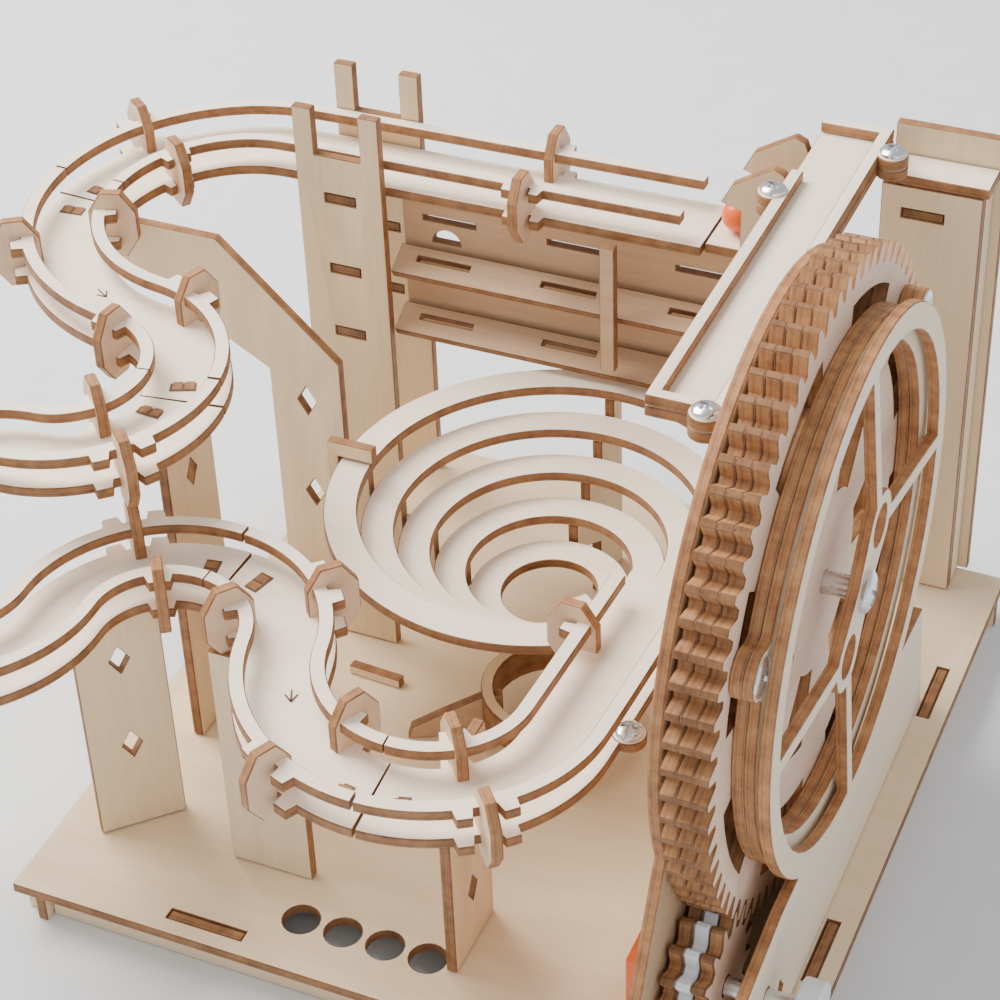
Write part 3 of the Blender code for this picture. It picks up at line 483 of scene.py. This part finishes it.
def ear(distance, side):
    """How far the strip's edge stands out at a distance, on one side."""
    most = 0.0
    for spot, clip_side in CLIPS:
        away = abs(distance - spot)
        if clip_side == side and EAR_NEAR < away < EAR_FAR:
            most = max(most, min(1.0, (away - EAR_NEAR) / EAR_RAMP, (EAR_FAR - away) / EAR_RAMP))
    return most * EAR_REACH


def track_steps(start, end):
    """Distances at which a strip has a row: an even step, and each corner of its ears."""
    count = round((end - start) / SMOOTH_STEP)
    steps = {round(start + (end - start) * i / count, 3) for i in range(count + 1)}
    for spot, _ in CLIPS:
        for away in (EAR_NEAR, EAR_NEAR + EAR_RAMP, EAR_FAR - EAR_RAMP, EAR_FAR):
            for step in (spot - away, spot + away):
                if start < step < end:
                    steps.add(round(step, 3))
    return sorted(steps)


def strip_mesh(name, rows):
    """A flat strip, top level; a row is (centre, leftward vector, inner and outer offset)."""
    verts = []
    for spot, left, inner, outer in rows:
        for offset, height in ((inner + CHAR, -PLY), (outer - CHAR, -PLY), (outer, CHAR - PLY),
                               (outer, -CHAR), (outer - CHAR, 0.0), (inner + CHAR, 0.0),
                               (inner, -CHAR), (inner, CHAR - PLY)):
            verts.append(spot + left * offset * MM + UP * height * MM)
    faces = [tuple(range(7, -1, -1))]
    for row in range(len(rows) - 1):
        for j in range(8):
            a, b = row * 8 + j, row * 8 + (j + 1) % 8
            faces.append((a, b, b + 8, a + 8))
    last = (len(rows) - 1) * 8
    faces.append(tuple(last + j for j in range(8)))
    mesh = bpy.data.meshes.new(name)
    mesh.from_pydata(verts, [], faces)
    share = CHAR / PLY
    store(mesh, "depth", "POINT",
          [0.0, 0.0, share, 1.0 - share, 1.0, 1.0, 1.0 - share, share] * len(rows))
    sides = [0.0, 1.0, 1.0, 1.0] * 2
    store(mesh, "scorch", "FACE", [1.0] + sides * (len(rows) - 1) + [1.0])
    soften(mesh)
    return mesh


def track_strip(node, start, end, inner_side, outer_side, lift):
    """One floor or rail, with ears beside its clips. Each side is (offset, ear side or 0)."""
    rows = []
    for distance in track_steps(start, end):
        heading = route_point(distance)[2]
        left = Vector((-math.sin(heading), math.cos(heading), 0.0))
        inner, outer = (offset + (side * ear(distance, side) if side else 0.0)
                        for offset, side in (inner_side, outer_side))
        rows.append((on_track(distance, 0.0, lift), left, inner, outer))
    mesh = strip_mesh(node + "_strip", rows)
    settle(node + "_strip", mesh, FINISH["track"], BODY_OF[node], (node,))


def build_tracks():
    """Every floor and its two rails, with a seam's gap at each end."""
    half = TRACK_WIDTH / 2.0
    for part, start, end in zip(TRACK_PARTS, TRACK_SEAMS, TRACK_SEAMS[1:]):
        lead = FLOOR_LEAD if part == TRACK_PARTS[-1] else 0.0
        delay = RAIL_DELAY if part == TRACK_PARTS[0] else 0.0
        first, last = start + SEAM / 2.0, end - SEAM / 2.0
        track_strip(f"track_{part}_floor", first, last + lead, (-half, -1), (half, 1), 0.0)
        track_strip(f"track_{part}_left_rail", first + delay, last, (half - RAIL_WIDTH, 0),
                    (half, 1), RAIL_LIFT)
        track_strip(f"track_{part}_right_rail", first + delay, last, (-half, -1),
                    (RAIL_WIDTH - half, 0), RAIL_LIFT)


# ---- spiral --------------------------------------------------------------------------------
FUNNEL_RADIUS = 66.0
FUNNEL_PITCH = 9.85
FUNNEL_TURNS = 5.2
FUNNEL_DROP = 8.4
FUNNEL_Y = 128.3
FUNNEL_START = -19.0
FUNNEL_OUTSET = 5.4
STRIP_GAP = 0.5
SPIRAL_STEP = 3.0             # degrees


def build_spiral():
    """One strip that winds inward and down, under the end of the last floor."""
    half = (FUNNEL_PITCH - STRIP_GAP) / 2.0
    end = route_point(TRACK_SEAMS[-1] + FLOOR_LEAD)[0]
    centre_x = end + TRACK_WIDTH / 2.0 + FUNNEL_OUTSET - FUNNEL_RADIUS
    top = TRACK_HEIGHTS[-1][1]
    rows = []
    count = round(360.0 * FUNNEL_TURNS / SPIRAL_STEP)
    for i in range(count):
        turns = FUNNEL_TURNS * i / count
        angle = math.radians(FUNNEL_START + 360.0 * turns)
        radius = FUNNEL_RADIUS - half - FUNNEL_PITCH * turns
        spot = place(centre_x + radius * math.cos(angle), FUNNEL_Y + radius * math.sin(angle),
                     top - FUNNEL_DROP * turns)
        left = Vector((-math.cos(angle), -math.sin(angle), 0.0))
        rows.append((spot, left, -half, half))
    mesh = strip_mesh("spiral_strip", rows)
    settle("spiral_strip", mesh, FINISH["track"], BODY_OF["spiral_funnel"], ("spiral_funnel",))


build_tracks()
build_spiral()
SHAFTS = ("wheel_axle", "pinion_shaft", "drive_knob")
for node_name in sorted(frame["nodes"]):
    if not node_name.startswith("track_") and node_name not in (*SHAFTS, "marble",
                                                                "spiral_funnel"):
        dress(node_name, TOOTH_CHAR if "gear" in node_name or "pinion" in node_name else CHAR)
for node_name in SHAFTS:
    dress(node_name, SHAFT_CHAR)


# ---- geometry trees for the small pieces that repeat ---------------------------------------
class Tree:
    """Short helper to build a geometry tree with named sizes in millimetres."""

    def __init__(self, name, sizes):
        self.group = bpy.data.node_groups.new(name, "GeometryNodeTree")
        face = self.group.interface
        face.new_socket("Points", in_out="INPUT", socket_type="NodeSocketGeometry")
        for size in sizes:
            face.new_socket(size, in_out="INPUT", socket_type="NodeSocketFloat")
        face.new_socket("Pieces", in_out="OUTPUT", socket_type="NodeSocketGeometry")
        self.start = self.group.nodes.new("NodeGroupInput")
        self.size = {}
        for size in sizes:
            self.size[size] = self.maths("MULTIPLY", self.start.outputs[size], MM)

    def plug(self, socket, value):
        if isinstance(value, bpy.types.NodeSocket):
            self.group.links.new(value, socket)
        else:
            socket.default_value = value

    def add(self, kind, inputs=(), **settings):
        node = self.group.nodes.new(kind)
        for key, value in settings.items():
            setattr(node, key, value)
        for key, value in dict(inputs).items():
            self.plug(node.inputs[key], value)
        return node

    def maths(self, operation, first, second):
        return self.add("ShaderNodeMath", {0: first, 1: second}, operation=operation).outputs[0]

    def vector(self, x, y, z):
        return self.add("ShaderNodeCombineXYZ", {"X": x, "Y": y, "Z": z}).outputs[0]

    def moved(self, geometry, shift=(0.0, 0.0, 0.0), turn=(0.0, 0.0, 0.0), scale=(1.0, 1.0, 1.0)):
        node = self.add("GeometryNodeTransform", {"Geometry": geometry, "Translation": shift,
                                                  "Rotation": turn, "Scale": scale})
        return node.outputs[0]

    def block(self, x, y, z):
        return self.add("GeometryNodeMeshCube", {"Size": self.vector(x, y, z)}).outputs["Mesh"]

    def marked(self, geometry, name, domain, value):
        node = self.add("GeometryNodeStoreNamedAttribute", {"Geometry": geometry, "Name": name},
                        data_type="FLOAT", domain=domain)
        self.plug(node.inputs["Value"], value)
        return node.outputs[0]

    def joined(self, *parts):
        node = self.add("GeometryNodeJoinGeometry")
        for part in parts:
            self.plug(node.inputs[0], part)
        return node.outputs[0]

    def darkened_edges(self, geometry, burn_and_shade):
        """Mark a shape as dark cut edge all over: burnt on the arrows and tab ends, painted shade
        on the key slots.
        """
        return self.marked(self.marked(geometry, "scorch", "FACE", 1.0), "burn_and_shade", "FACE", burn_and_shade)

    def height_share(self, thickness):
        """0 on the underside of a piece of this thickness lying about the origin, 1 on its top."""
        spot = self.add("GeometryNodeInputPosition").outputs[0]
        height = self.add("ShaderNodeSeparateXYZ", {0: spot}).outputs["Z"]
        return self.maths("ADD", self.maths("DIVIDE", height, thickness), 0.5)

    def finish(self, piece, material):
        """Set one piece on every point, turned as the point's own attribute says."""
        turn = self.add("GeometryNodeInputNamedAttribute", {"Name": "turn"},
                        data_type="FLOAT_VECTOR").outputs["Attribute"]
        rotation = self.add("FunctionNodeEulerToRotation", {0: turn}).outputs[0]
        spread = self.add("GeometryNodeInstanceOnPoints", {"Points": self.start.outputs["Points"],
                                                           "Instance": piece,
                                                           "Rotation": rotation})
        real = self.add("GeometryNodeRealizeInstances", {"Geometry": spread.outputs[0]})
        dressed = self.add("GeometryNodeSetMaterial", {"Geometry": real.outputs[0],
                                                       "Material": material})
        self.plug(self.add("NodeGroupOutput").inputs[0], dressed.outputs[0])
        return self.group


MERGE = 0.00001
CLIP_CORNER = 60.0            # degrees: a clip's eight upright corners stay sharp
ROUND_SIDES = 36
DOME_SPREAD = 1.10            # a pan head's dome is a little wider than its drum
RECESS_REACH = 1.15           # length of a cross recess's bar, in head radii
KEY_TAB = (0.36, 0.74, 2.2)   # a tab end's length, width and stand, as shares of its slot's
KEY_ASIDE = 0.23
TAB_DEPTH = 0.66              # which ply shows on a tab end
TAB_TOAST = 0.35
BARB_TURN = 32.0


def clip_tree(material):
    """An eight-sided upright board; its plane is local X and Y."""
    tree = Tree("track_clips", ("Width", "Height", "Thickness"))
    ring = tree.add("GeometryNodeMeshCircle", {"Vertices": 8, "Radius": 1.0}, fill_type="NGON")
    corner = 0.5 / math.cos(math.radians(22.5))
    stretch = tree.vector(tree.maths("MULTIPLY", tree.size["Width"], corner),
                          tree.maths("MULTIPLY", tree.size["Height"], corner), 1.0)
    turned = tree.moved(ring.outputs[0], turn=(0.0, 0.0, math.radians(22.5)))
    thick = tree.size["Thickness"]
    shift = tree.vector(0.0, 0.0, tree.maths("MULTIPLY", thick, -0.5))
    shape = tree.moved(turned, shift=shift, scale=stretch)
    grown = tree.add("GeometryNodeExtrudeMesh",
                     {"Mesh": shape, "Offset": tree.vector(0.0, 0.0, thick),
                      "Offset Scale": 1.0, "Individual": False})
    upper = tree.marked(grown.outputs["Mesh"], "scorch", "FACE", grown.outputs["Side"])
    lower = tree.add("GeometryNodeFlipFaces", {"Mesh": shape}).outputs[0]
    closed = tree.add("GeometryNodeMergeByDistance",
                      {"Geometry": tree.joined(upper, lower), "Distance": MERGE}).outputs[0]
    return tree.finish(tree.marked(closed, "depth", "POINT", tree.height_share(thick)), material)


def disc_tree(material):
    """A round ear of ply, lying flat."""
    tree = Tree("screw_ears", ("Radius", "Thickness"))
    disc = tree.add("GeometryNodeMeshCylinder",
                    {"Vertices": ROUND_SIDES, "Radius": tree.size["Radius"],
                     "Depth": tree.size["Thickness"]}, fill_type="NGON")
    sides = tree.marked(disc.outputs["Mesh"], "scorch", "FACE", disc.outputs["Side"])
    share = tree.height_share(tree.size["Thickness"])
    return tree.finish(tree.marked(sides, "depth", "POINT", share), material)


def screw_tree(material):
    """A pan head with a cross recess, standing on its local XY plane."""
    tree = Tree("pan_heads", ("Radius", "Height", "Recess Width", "Recess Depth"))
    radius, height = tree.size["Radius"], tree.size["Height"]
    dome = tree.add("GeometryNodeMeshUVSphere",
                    {"Segments": ROUND_SIDES, "Rings": 20, "Radius": 1.0})
    wide = tree.maths("MULTIPLY", radius, DOME_SPREAD)
    dome = tree.moved(dome.outputs[0], scale=tree.vector(wide, wide, height))
    drum = tree.add("GeometryNodeMeshCylinder", {"Vertices": ROUND_SIDES, "Radius": radius,
                                                 "Depth": tree.maths("MULTIPLY", height, 2.0)})
    up = tree.vector(0.0, 0.0, height)
    head = tree.add("GeometryNodeMeshBoolean", operation="INTERSECT", solver="EXACT")
    for part in (dome, tree.moved(drum.outputs[0], shift=up)):
        tree.plug(head.inputs[1], part)
    bar = tree.block(tree.maths("MULTIPLY", radius, RECESS_REACH), tree.size["Recess Width"],
                     tree.maths("MULTIPLY", tree.size["Recess Depth"], 2.0))
    cross = tree.add("GeometryNodeMeshBoolean", operation="DIFFERENCE", solver="EXACT")
    tree.plug(cross.inputs[0], head.outputs[0])
    for angle in (45.0, 135.0):
        tree.plug(cross.inputs[1], tree.moved(bar, shift=up, turn=(0.0, 0.0, math.radians(angle))))
    return tree.finish(cross.outputs[0], material)


def key_tree(material):
    """Two square tab ends in their slot, seen flush with a board's face; the slot is a dark plate
    of painted shade.
    """
    tree = Tree("joint_keys", ("Length", "Width", "Stand"))
    length, width, stand = tree.size["Length"], tree.size["Width"], tree.size["Stand"]
    # painted shade: a dark plate where the open slot would lie in shadow
    slot = tree.darkened_edges(tree.block(length, width, stand), 1.0)
    tab = tree.block(*(tree.maths("MULTIPLY", size, share)
                       for size, share in zip((length, width, stand), KEY_TAB)))
    tab = tree.marked(tree.marked(tab, "scorch", "FACE", 1.0), "depth", "POINT", TAB_DEPTH)
    aside = tree.maths("MULTIPLY", length, KEY_ASIDE)
    pair = [tree.moved(tab, shift=tree.vector(tree.maths("MULTIPLY", aside, side), 0.0, 0.0))
            for side in (-1.0, 1.0)]
    return tree.finish(tree.joined(slot, *pair), material)


def arrow_tree(material):
    """An engraved arrow along local X: a shaft and two barbs."""
    tree = Tree("engraved_arrows", ("Length", "Stroke", "Barb", "Stand"))
    length, stroke = tree.size["Length"], tree.size["Stroke"]
    barb, stand = tree.size["Barb"], tree.size["Stand"]
    parts = [tree.block(length, stroke, stand)]
    back = tree.vector(tree.maths("MULTIPLY", barb, -0.5), 0.0, 0.0)
    tip = tree.vector(tree.maths("MULTIPLY", length, 0.5), 0.0, 0.0)
    for side in (-1.0, 1.0):
        stick = tree.moved(tree.block(barb, stroke, stand), shift=back)
        stick = tree.moved(stick, turn=(0.0, 0.0, side * math.radians(BARB_TURN)))
        parts.append(tree.moved(stick, shift=tip))
    return tree.finish(tree.darkened_edges(tree.joined(*parts), 1.0), material)


def tab_tree(material):
    """The end of a board's tab, filling a slot; its plies lie along local X."""
    tree = Tree("tab_ends", ("Length", "Width", "Thickness"))
    width = tree.size["Width"]
    tab = tree.block(tree.size["Length"], width, tree.size["Thickness"])
    spot = tree.add("GeometryNodeInputPosition").outputs[0]
    across = tree.add("ShaderNodeSeparateXYZ", {0: spot}).outputs["Y"]
    share = tree.maths("ADD", tree.maths("DIVIDE", across, width), 0.5)
    return tree.finish(tree.marked(tree.darkened_edges(tab, TAB_TOAST), "depth", "POINT", share), material)


def scatter(name, group, finish, spots, body, sizes, char=0.0):
    """Run a tree on points (place, turn) and keep the result as one plain mesh."""
    points = bpy.data.meshes.new(name + "_points")
    points.from_pydata([tuple(spot) for spot, _ in spots], [], [])
    turns = points.attributes.new("turn", "FLOAT_VECTOR", "POINT")
    turns.data.foreach_set("vector", [value for _, turn in spots for value in turn.to_euler()])
    holder = new_object(name, points)
    grow = holder.modifiers.new("grow", "NODES")
    grow.node_group = group
    for item in group.interface.items_tree:
        if item.in_out == "INPUT" and item.name in sizes:
            grow[item.identifier] = sizes[item.name]
    depsgraph = bpy.context.evaluated_depsgraph_get()
    mesh = bpy.data.meshes.new_from_object(holder.evaluated_get(depsgraph))
    bpy.data.objects.remove(holder)
    if char:
        work = bmesh.new()
        work.from_mesh(mesh)
        darkened_edges = burn_edges(work, edges_over(work, CLIP_CORNER), char)
        layer = work.faces.layers.float["scorch"]
        for face in darkened_edges:
            face[layer] = 1.0
        work.to_mesh(mesh)
        work.free()
    soften(mesh)
    settle(name, mesh, FINISH[finish], body)


def facing(normal):
    """Turn local Z to a level direction, with local Y upright."""
    z = Vector(normal)
    return Matrix((UP.cross(z), UP, z)).transposed()


def flat_turn(heading):
    return Matrix.Rotation(heading, 3, "Z")


CLIP_SIZE = {"Width": 14.0, "Height": 21.0, "Thickness": PLY}
CLIP_OFFSET = 13.5            # a clip's middle, from the track's centre line and floor
CLIP_MIDDLE = 3.5
# Keys and arrows are (distance along the track, leftward offset).
KEYS = ((202.0, -1.0), (213.0, -3.0), (311.0, -1.0), (324.0, -6.0), (569.0, 2.0), (582.0, 3.0),
        (661.0, -3.0), (675.0, -2.0))
KEY_SIZE = {"Length": 7.2, "Width": 4.8, "Stand": 0.12}
ARROWS = ((257.0, 4.0), (623.0, 3.0), (699.0, -3.0))
ARROW_SIZE = {"Length": 8.5, "Stroke": 0.45, "Barb": 3.0, "Stand": 0.06}
FORK_SLOTS = (68.0, 90.5, 115.0)
FORK_TAB_SIZE = {"Length": 9.2, "Width": 2.5, "Thickness": 2.4}
TOWER_TAB_SIZE = {"Length": 11.2, "Width": 2.4, "Thickness": 2.4}
TOWER_TAB_SPOT = (12.0, 8.5)  # in from the board's left edge, down from its top
CHUTE_SCREWS = ((175.8, 206.8), (151.6, 177.2), (168.6, 76.5))
CHUTE_TOP = 149.3
RUN_IN_SCREW = (161.4, 44.7)
RUN_IN_DISTANCE = 725.0
CHUTE_SCREW_TURN, RUN_IN_SCREW_TURN = 0.3, 0.8
SEAT = 0.05                   # a screw's ear stands this far above the board beside it
SCREW_EAR_SIZE = {"Radius": 4.4, "Thickness": PLY}
BOARD_SCREW_SIZE = {"Radius": 3.6, "Height": 2.2, "Recess Width": 0.9, "Recess Depth": 1.2}
HUB_SCREW_SIZE = {"Radius": 5.6, "Height": 2.8, "Recess Width": 1.2, "Recess Depth": 1.5}
LUG_SCREW_SIZE = {"Radius": 5.0, "Height": 0.85, "Recess Width": 1.1, "Recess Depth": 0.5}
LUG_ANGLES = (38.0, 158.0, 278.0)
LUG_SCREW_RADIUS = 74.0
WHEEL_AXIS = (87.0, 97.8)


def build_clips():
    """Clips that hold the rails, square across the track."""
    spots = []
    for distance, side in CLIPS:
        heading = route_point(distance)[2]
        forward = Vector((math.cos(heading), math.sin(heading), 0.0))
        left = Vector((-forward.y, forward.x, 0.0))
        turn = Matrix((left, UP, forward)).transposed()
        spots.append((on_track(distance, side * CLIP_OFFSET, CLIP_MIDDLE), turn))
    scatter("track_clips", clip_tree(FINISH["clip"]), "clip", spots, "frame", CLIP_SIZE,
            CHAR)


def on_floor(spots, turned=0.0):
    """Places and turns of small pieces that lie on the track's floor."""
    return [(on_track(distance, offset, 0.0), flat_turn(route_point(distance)[2] + turned))
            for distance, offset in spots]


def build_keys():
    """Keys across the joints in the floor, and arrows that point down the track."""
    scatter("floor_keys", key_tree(FINISH["track"]), "track", on_floor(KEYS, math.pi / 2),
            "frame", KEY_SIZE)
    scatter("floor_arrows", arrow_tree(FINISH["track"]), "track", on_floor(ARROWS),
            "frame", ARROW_SIZE)


def build_tab_ends():
    """Tab ends in the fork boards' slots and in the tower's slot."""
    forward = facing((0.0, -1.0, 0.0))
    spots = []
    for node in ("fork_tower_front", "fork_tower_rear"):
        low, high = box_of(node)
        middle = (low + high) / 2.0
        for level in FORK_SLOTS:
            spots.append((Vector((middle.x, middle.y, place(0.0, 0.0, level).z)), forward))
    low, high = box_of("tower_front")
    across, down = TOWER_TAB_SPOT
    tower = Vector((low.x + across * MM, (low.y + high.y) / 2.0, high.z - down * MM))
    ends = tab_tree(FINISH["rack"])
    scatter("fork_tab_ends", ends, "rack", spots, "frame", FORK_TAB_SIZE)
    scatter("tower_tab_end", ends, "rack", [(tower, forward)], "frame",
            TOWER_TAB_SIZE)


def upright_board(name, start, end, outline, finish):
    """A small board standing on the base between two points, cut to (along, up) corners."""
    along = Vector((end[0] - start[0], end[1] - start[1], 0.0)).normalized()
    across = Vector((-along.y, along.x, 0.0))
    work = bmesh.new()
    corners = [work.verts.new(place(*start, 0.0) + (along * u + UP * v) * MM)
               for u, v in outline]
    face = work.faces.new(corners)
    grown = bmesh.ops.extrude_face_region(work, geom=[face])
    for item in grown["geom"]:
        if isinstance(item, bmesh.types.BMVert):
            item.co += across * PLY * MM
    bmesh.ops.recalc_face_normals(work, faces=work.faces)
    burn_edges(work, list(work.edges), CHAR)
    mesh = mesh_from(name, work)
    mark_plies(mesh, across)
    soften(mesh)
    settle(name, mesh, FINISH[finish], "frame")


BASE_LIFT = 0.05              # standing boards stay just clear of the base
GUSSET = ((76.0, 90.9), (101.1, 103.7))       # on the base, from and towards
GUSSET_OUTLINE = ((0.0, BASE_LIFT), (27.5, BASE_LIFT), (27.5, 14.6), (23.1, 14.6), (10.9, 9.0),
                  (1.2, 4.2))
BAR = ((48.0, 110.0), (64.8, 109.0))
BAR_OUTLINE = ((0.0, BASE_LIFT), (16.8, BASE_LIFT), (16.8, 3.2), (0.0, 3.2))


def build_small_boards():
    """The gusset beside the bowl, and a low stop bar behind it."""
    upright_board("bowl_gusset", *GUSSET, GUSSET_OUTLINE, "rack")
    upright_board("stop_bar", *BAR, BAR_OUTLINE, "base")


def right_face(node):
    """How far right a node reaches, in the board frame."""
    return (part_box(node)[1][0] - ORIGIN.x) / MM


def build_screws():
    """Pan heads: three on the chute's ears, one by the run-in, one on the hub, three on lugs."""
    heads = screw_tree(FINISH["steel"])
    chute_top, run_in_top = CHUTE_TOP + SEAT, floor_height(RUN_IN_DISTANCE) + SEAT
    spots = [(place(x, y, chute_top), flat_turn(CHUTE_SCREW_TURN)) for x, y in CHUTE_SCREWS]
    spots.append((place(*RUN_IN_SCREW, run_in_top), flat_turn(RUN_IN_SCREW_TURN)))
    scatter("board_screws", heads, "steel", spots, "frame", BOARD_SCREW_SIZE)
    discs = [(place(x, y, z), flat_turn(0.0)) for x, y in CHUTE_SCREWS
             for z in (chute_top - PLY / 2.0, CHUTE_TOP - GAP - PLY * 1.5)]
    discs.append((place(*RUN_IN_SCREW, run_in_top - PLY / 2.0), flat_turn(0.0)))
    scatter("screw_ears", disc_tree(FINISH["chute"]), "chute", discs, "frame",
            SCREW_EAR_SIZE, CHAR)
    outward = facing((1.0, 0.0, 0.0))
    y, z = WHEEL_AXIS
    hub = place(right_face("outer_side_frame"), y, z)
    scatter("hub_screw", heads, "steel", [(hub, outward)], "frame", HUB_SCREW_SIZE)
    lugs = []
    for angle in LUG_ANGLES:
        bearing = math.radians(angle)
        lugs.append((place(right_face("lug_ring_outer"), y + LUG_SCREW_RADIUS * math.cos(bearing),
                           z + LUG_SCREW_RADIUS * math.sin(bearing)), outward))
    scatter("lug_screws", heads, "steel", lugs, "wheel", LUG_SCREW_SIZE)


build_clips()
build_keys()
build_tab_ends()
build_small_boards()
build_screws()


SEAM_HALF = 0.01              # the marble's seam, as shares of its radius
SEAM_RADIUS = 0.994


def build_marble():
    """A glossy ball with a faint moulding seam round its middle."""
    low, high = box_of("marble")
    radius = min(high - low) / 2.0
    work = bmesh.new()
    bmesh.ops.create_uvsphere(work, u_segments=48, v_segments=32, radius=radius)
    for vert in work.verts:
        if abs(vert.co.z) < radius * SEAM_HALF:
            vert.co *= SEAM_RADIUS
        vert.co += (low + high) / 2.0
    mesh = mesh_from("marble_ball", work)
    soften(mesh, 60.0)
    settle("marble_ball", mesh, FINISH["orange"], "marble", ("marble",))


build_marble()


# ---- stage, camera and light ---------------------------------------------------------------
TABLE_REACH = 12.0
CAMERA_SPOT = (326.7, -384.3, 503.0)
CAMERA_ANGLES = (24.91, 36.5, -2.39)          # azimuth, elevation, roll
SENSOR = 36.0
LENS = 91.85
LENS_SHIFT = (0.0088, -0.0625)
SKY_COLOUR, SKY_STRENGTH = (0.92, 0.93, 0.95, 1.0), 0.76
# Each lamp is (name, place, aim, size, watts, colour), in metres.
LAMPS = (("window", (-0.75, 0.15, 1.15), (0.0, 0.0, 0.05), 0.9, 42.0, (1.0, 0.95, 0.89)),
         ("fill", (0.9, -0.9, 0.9), (0.0, 0.0, 0.08), 1.2, 5.0, (0.95, 0.97, 1.0)))


def build_stage():
    mesh = bpy.data.meshes.new("table_top")
    corners = ((-1.0, -1.0), (1.0, -1.0), (1.0, 1.0), (-1.0, 1.0))
    mesh.from_pydata([(x * TABLE_REACH, y * TABLE_REACH, 0.0) for x, y in corners], [],
                     [(0, 1, 2, 3)])
    nodes = Nodes("table_white")
    soft = nodes.noise(nodes.spots(), 60.0, 3.0, 0.5)
    nodes.link(nodes.ramp(soft, ((0.3, (0.74, 0.77, 0.80)), (0.7, (0.78, 0.80, 0.83)))),
               nodes.shader.inputs["Base Color"])
    nodes.shader.inputs["Roughness"].default_value = 0.9
    mesh.materials.append(nodes.material)
    new_object("table_top", mesh)


def build_camera():
    azimuth, elevation, roll = (math.radians(value) for value in CAMERA_ANGLES)
    back = Vector((math.sin(azimuth) * math.cos(elevation),
                   -math.cos(azimuth) * math.cos(elevation), math.sin(elevation)))
    level = Vector((math.cos(azimuth), math.sin(azimuth), 0.0))
    upward = back.cross(level)
    right = math.cos(roll) * level + math.sin(roll) * upward
    up = math.cos(roll) * upward - math.sin(roll) * level
    data = bpy.data.cameras.new("camera")
    data.sensor_width = SENSOR
    data.lens = LENS
    data.shift_x, data.shift_y = LENS_SHIFT
    data.clip_start = 0.01
    camera = new_object("camera", data)
    turn = Matrix((right, up, back)).transposed().to_4x4()
    camera.matrix_world = Matrix.Translation(place(*CAMERA_SPOT)) @ turn
    bpy.context.scene.camera = camera


def build_light():
    world = bpy.data.worlds.new("studio")
    bpy.context.scene.world = world
    world.use_nodes = True
    backdrop = world.node_tree.nodes["Background"]
    backdrop.inputs["Color"].default_value = SKY_COLOUR
    backdrop.inputs["Strength"].default_value = SKY_STRENGTH
    for name, spot, aim, size, watts, colour in LAMPS:
        data = bpy.data.lights.new(name, "AREA")
        data.size = size
        data.energy = watts
        data.color = colour
        lamp = new_object(name, data)
        lamp.location = spot
        lamp.rotation_euler = (Vector(aim) - Vector(spot)).to_track_quat("-Z", "Y").to_euler()


build_stage()
build_camera()
build_light()
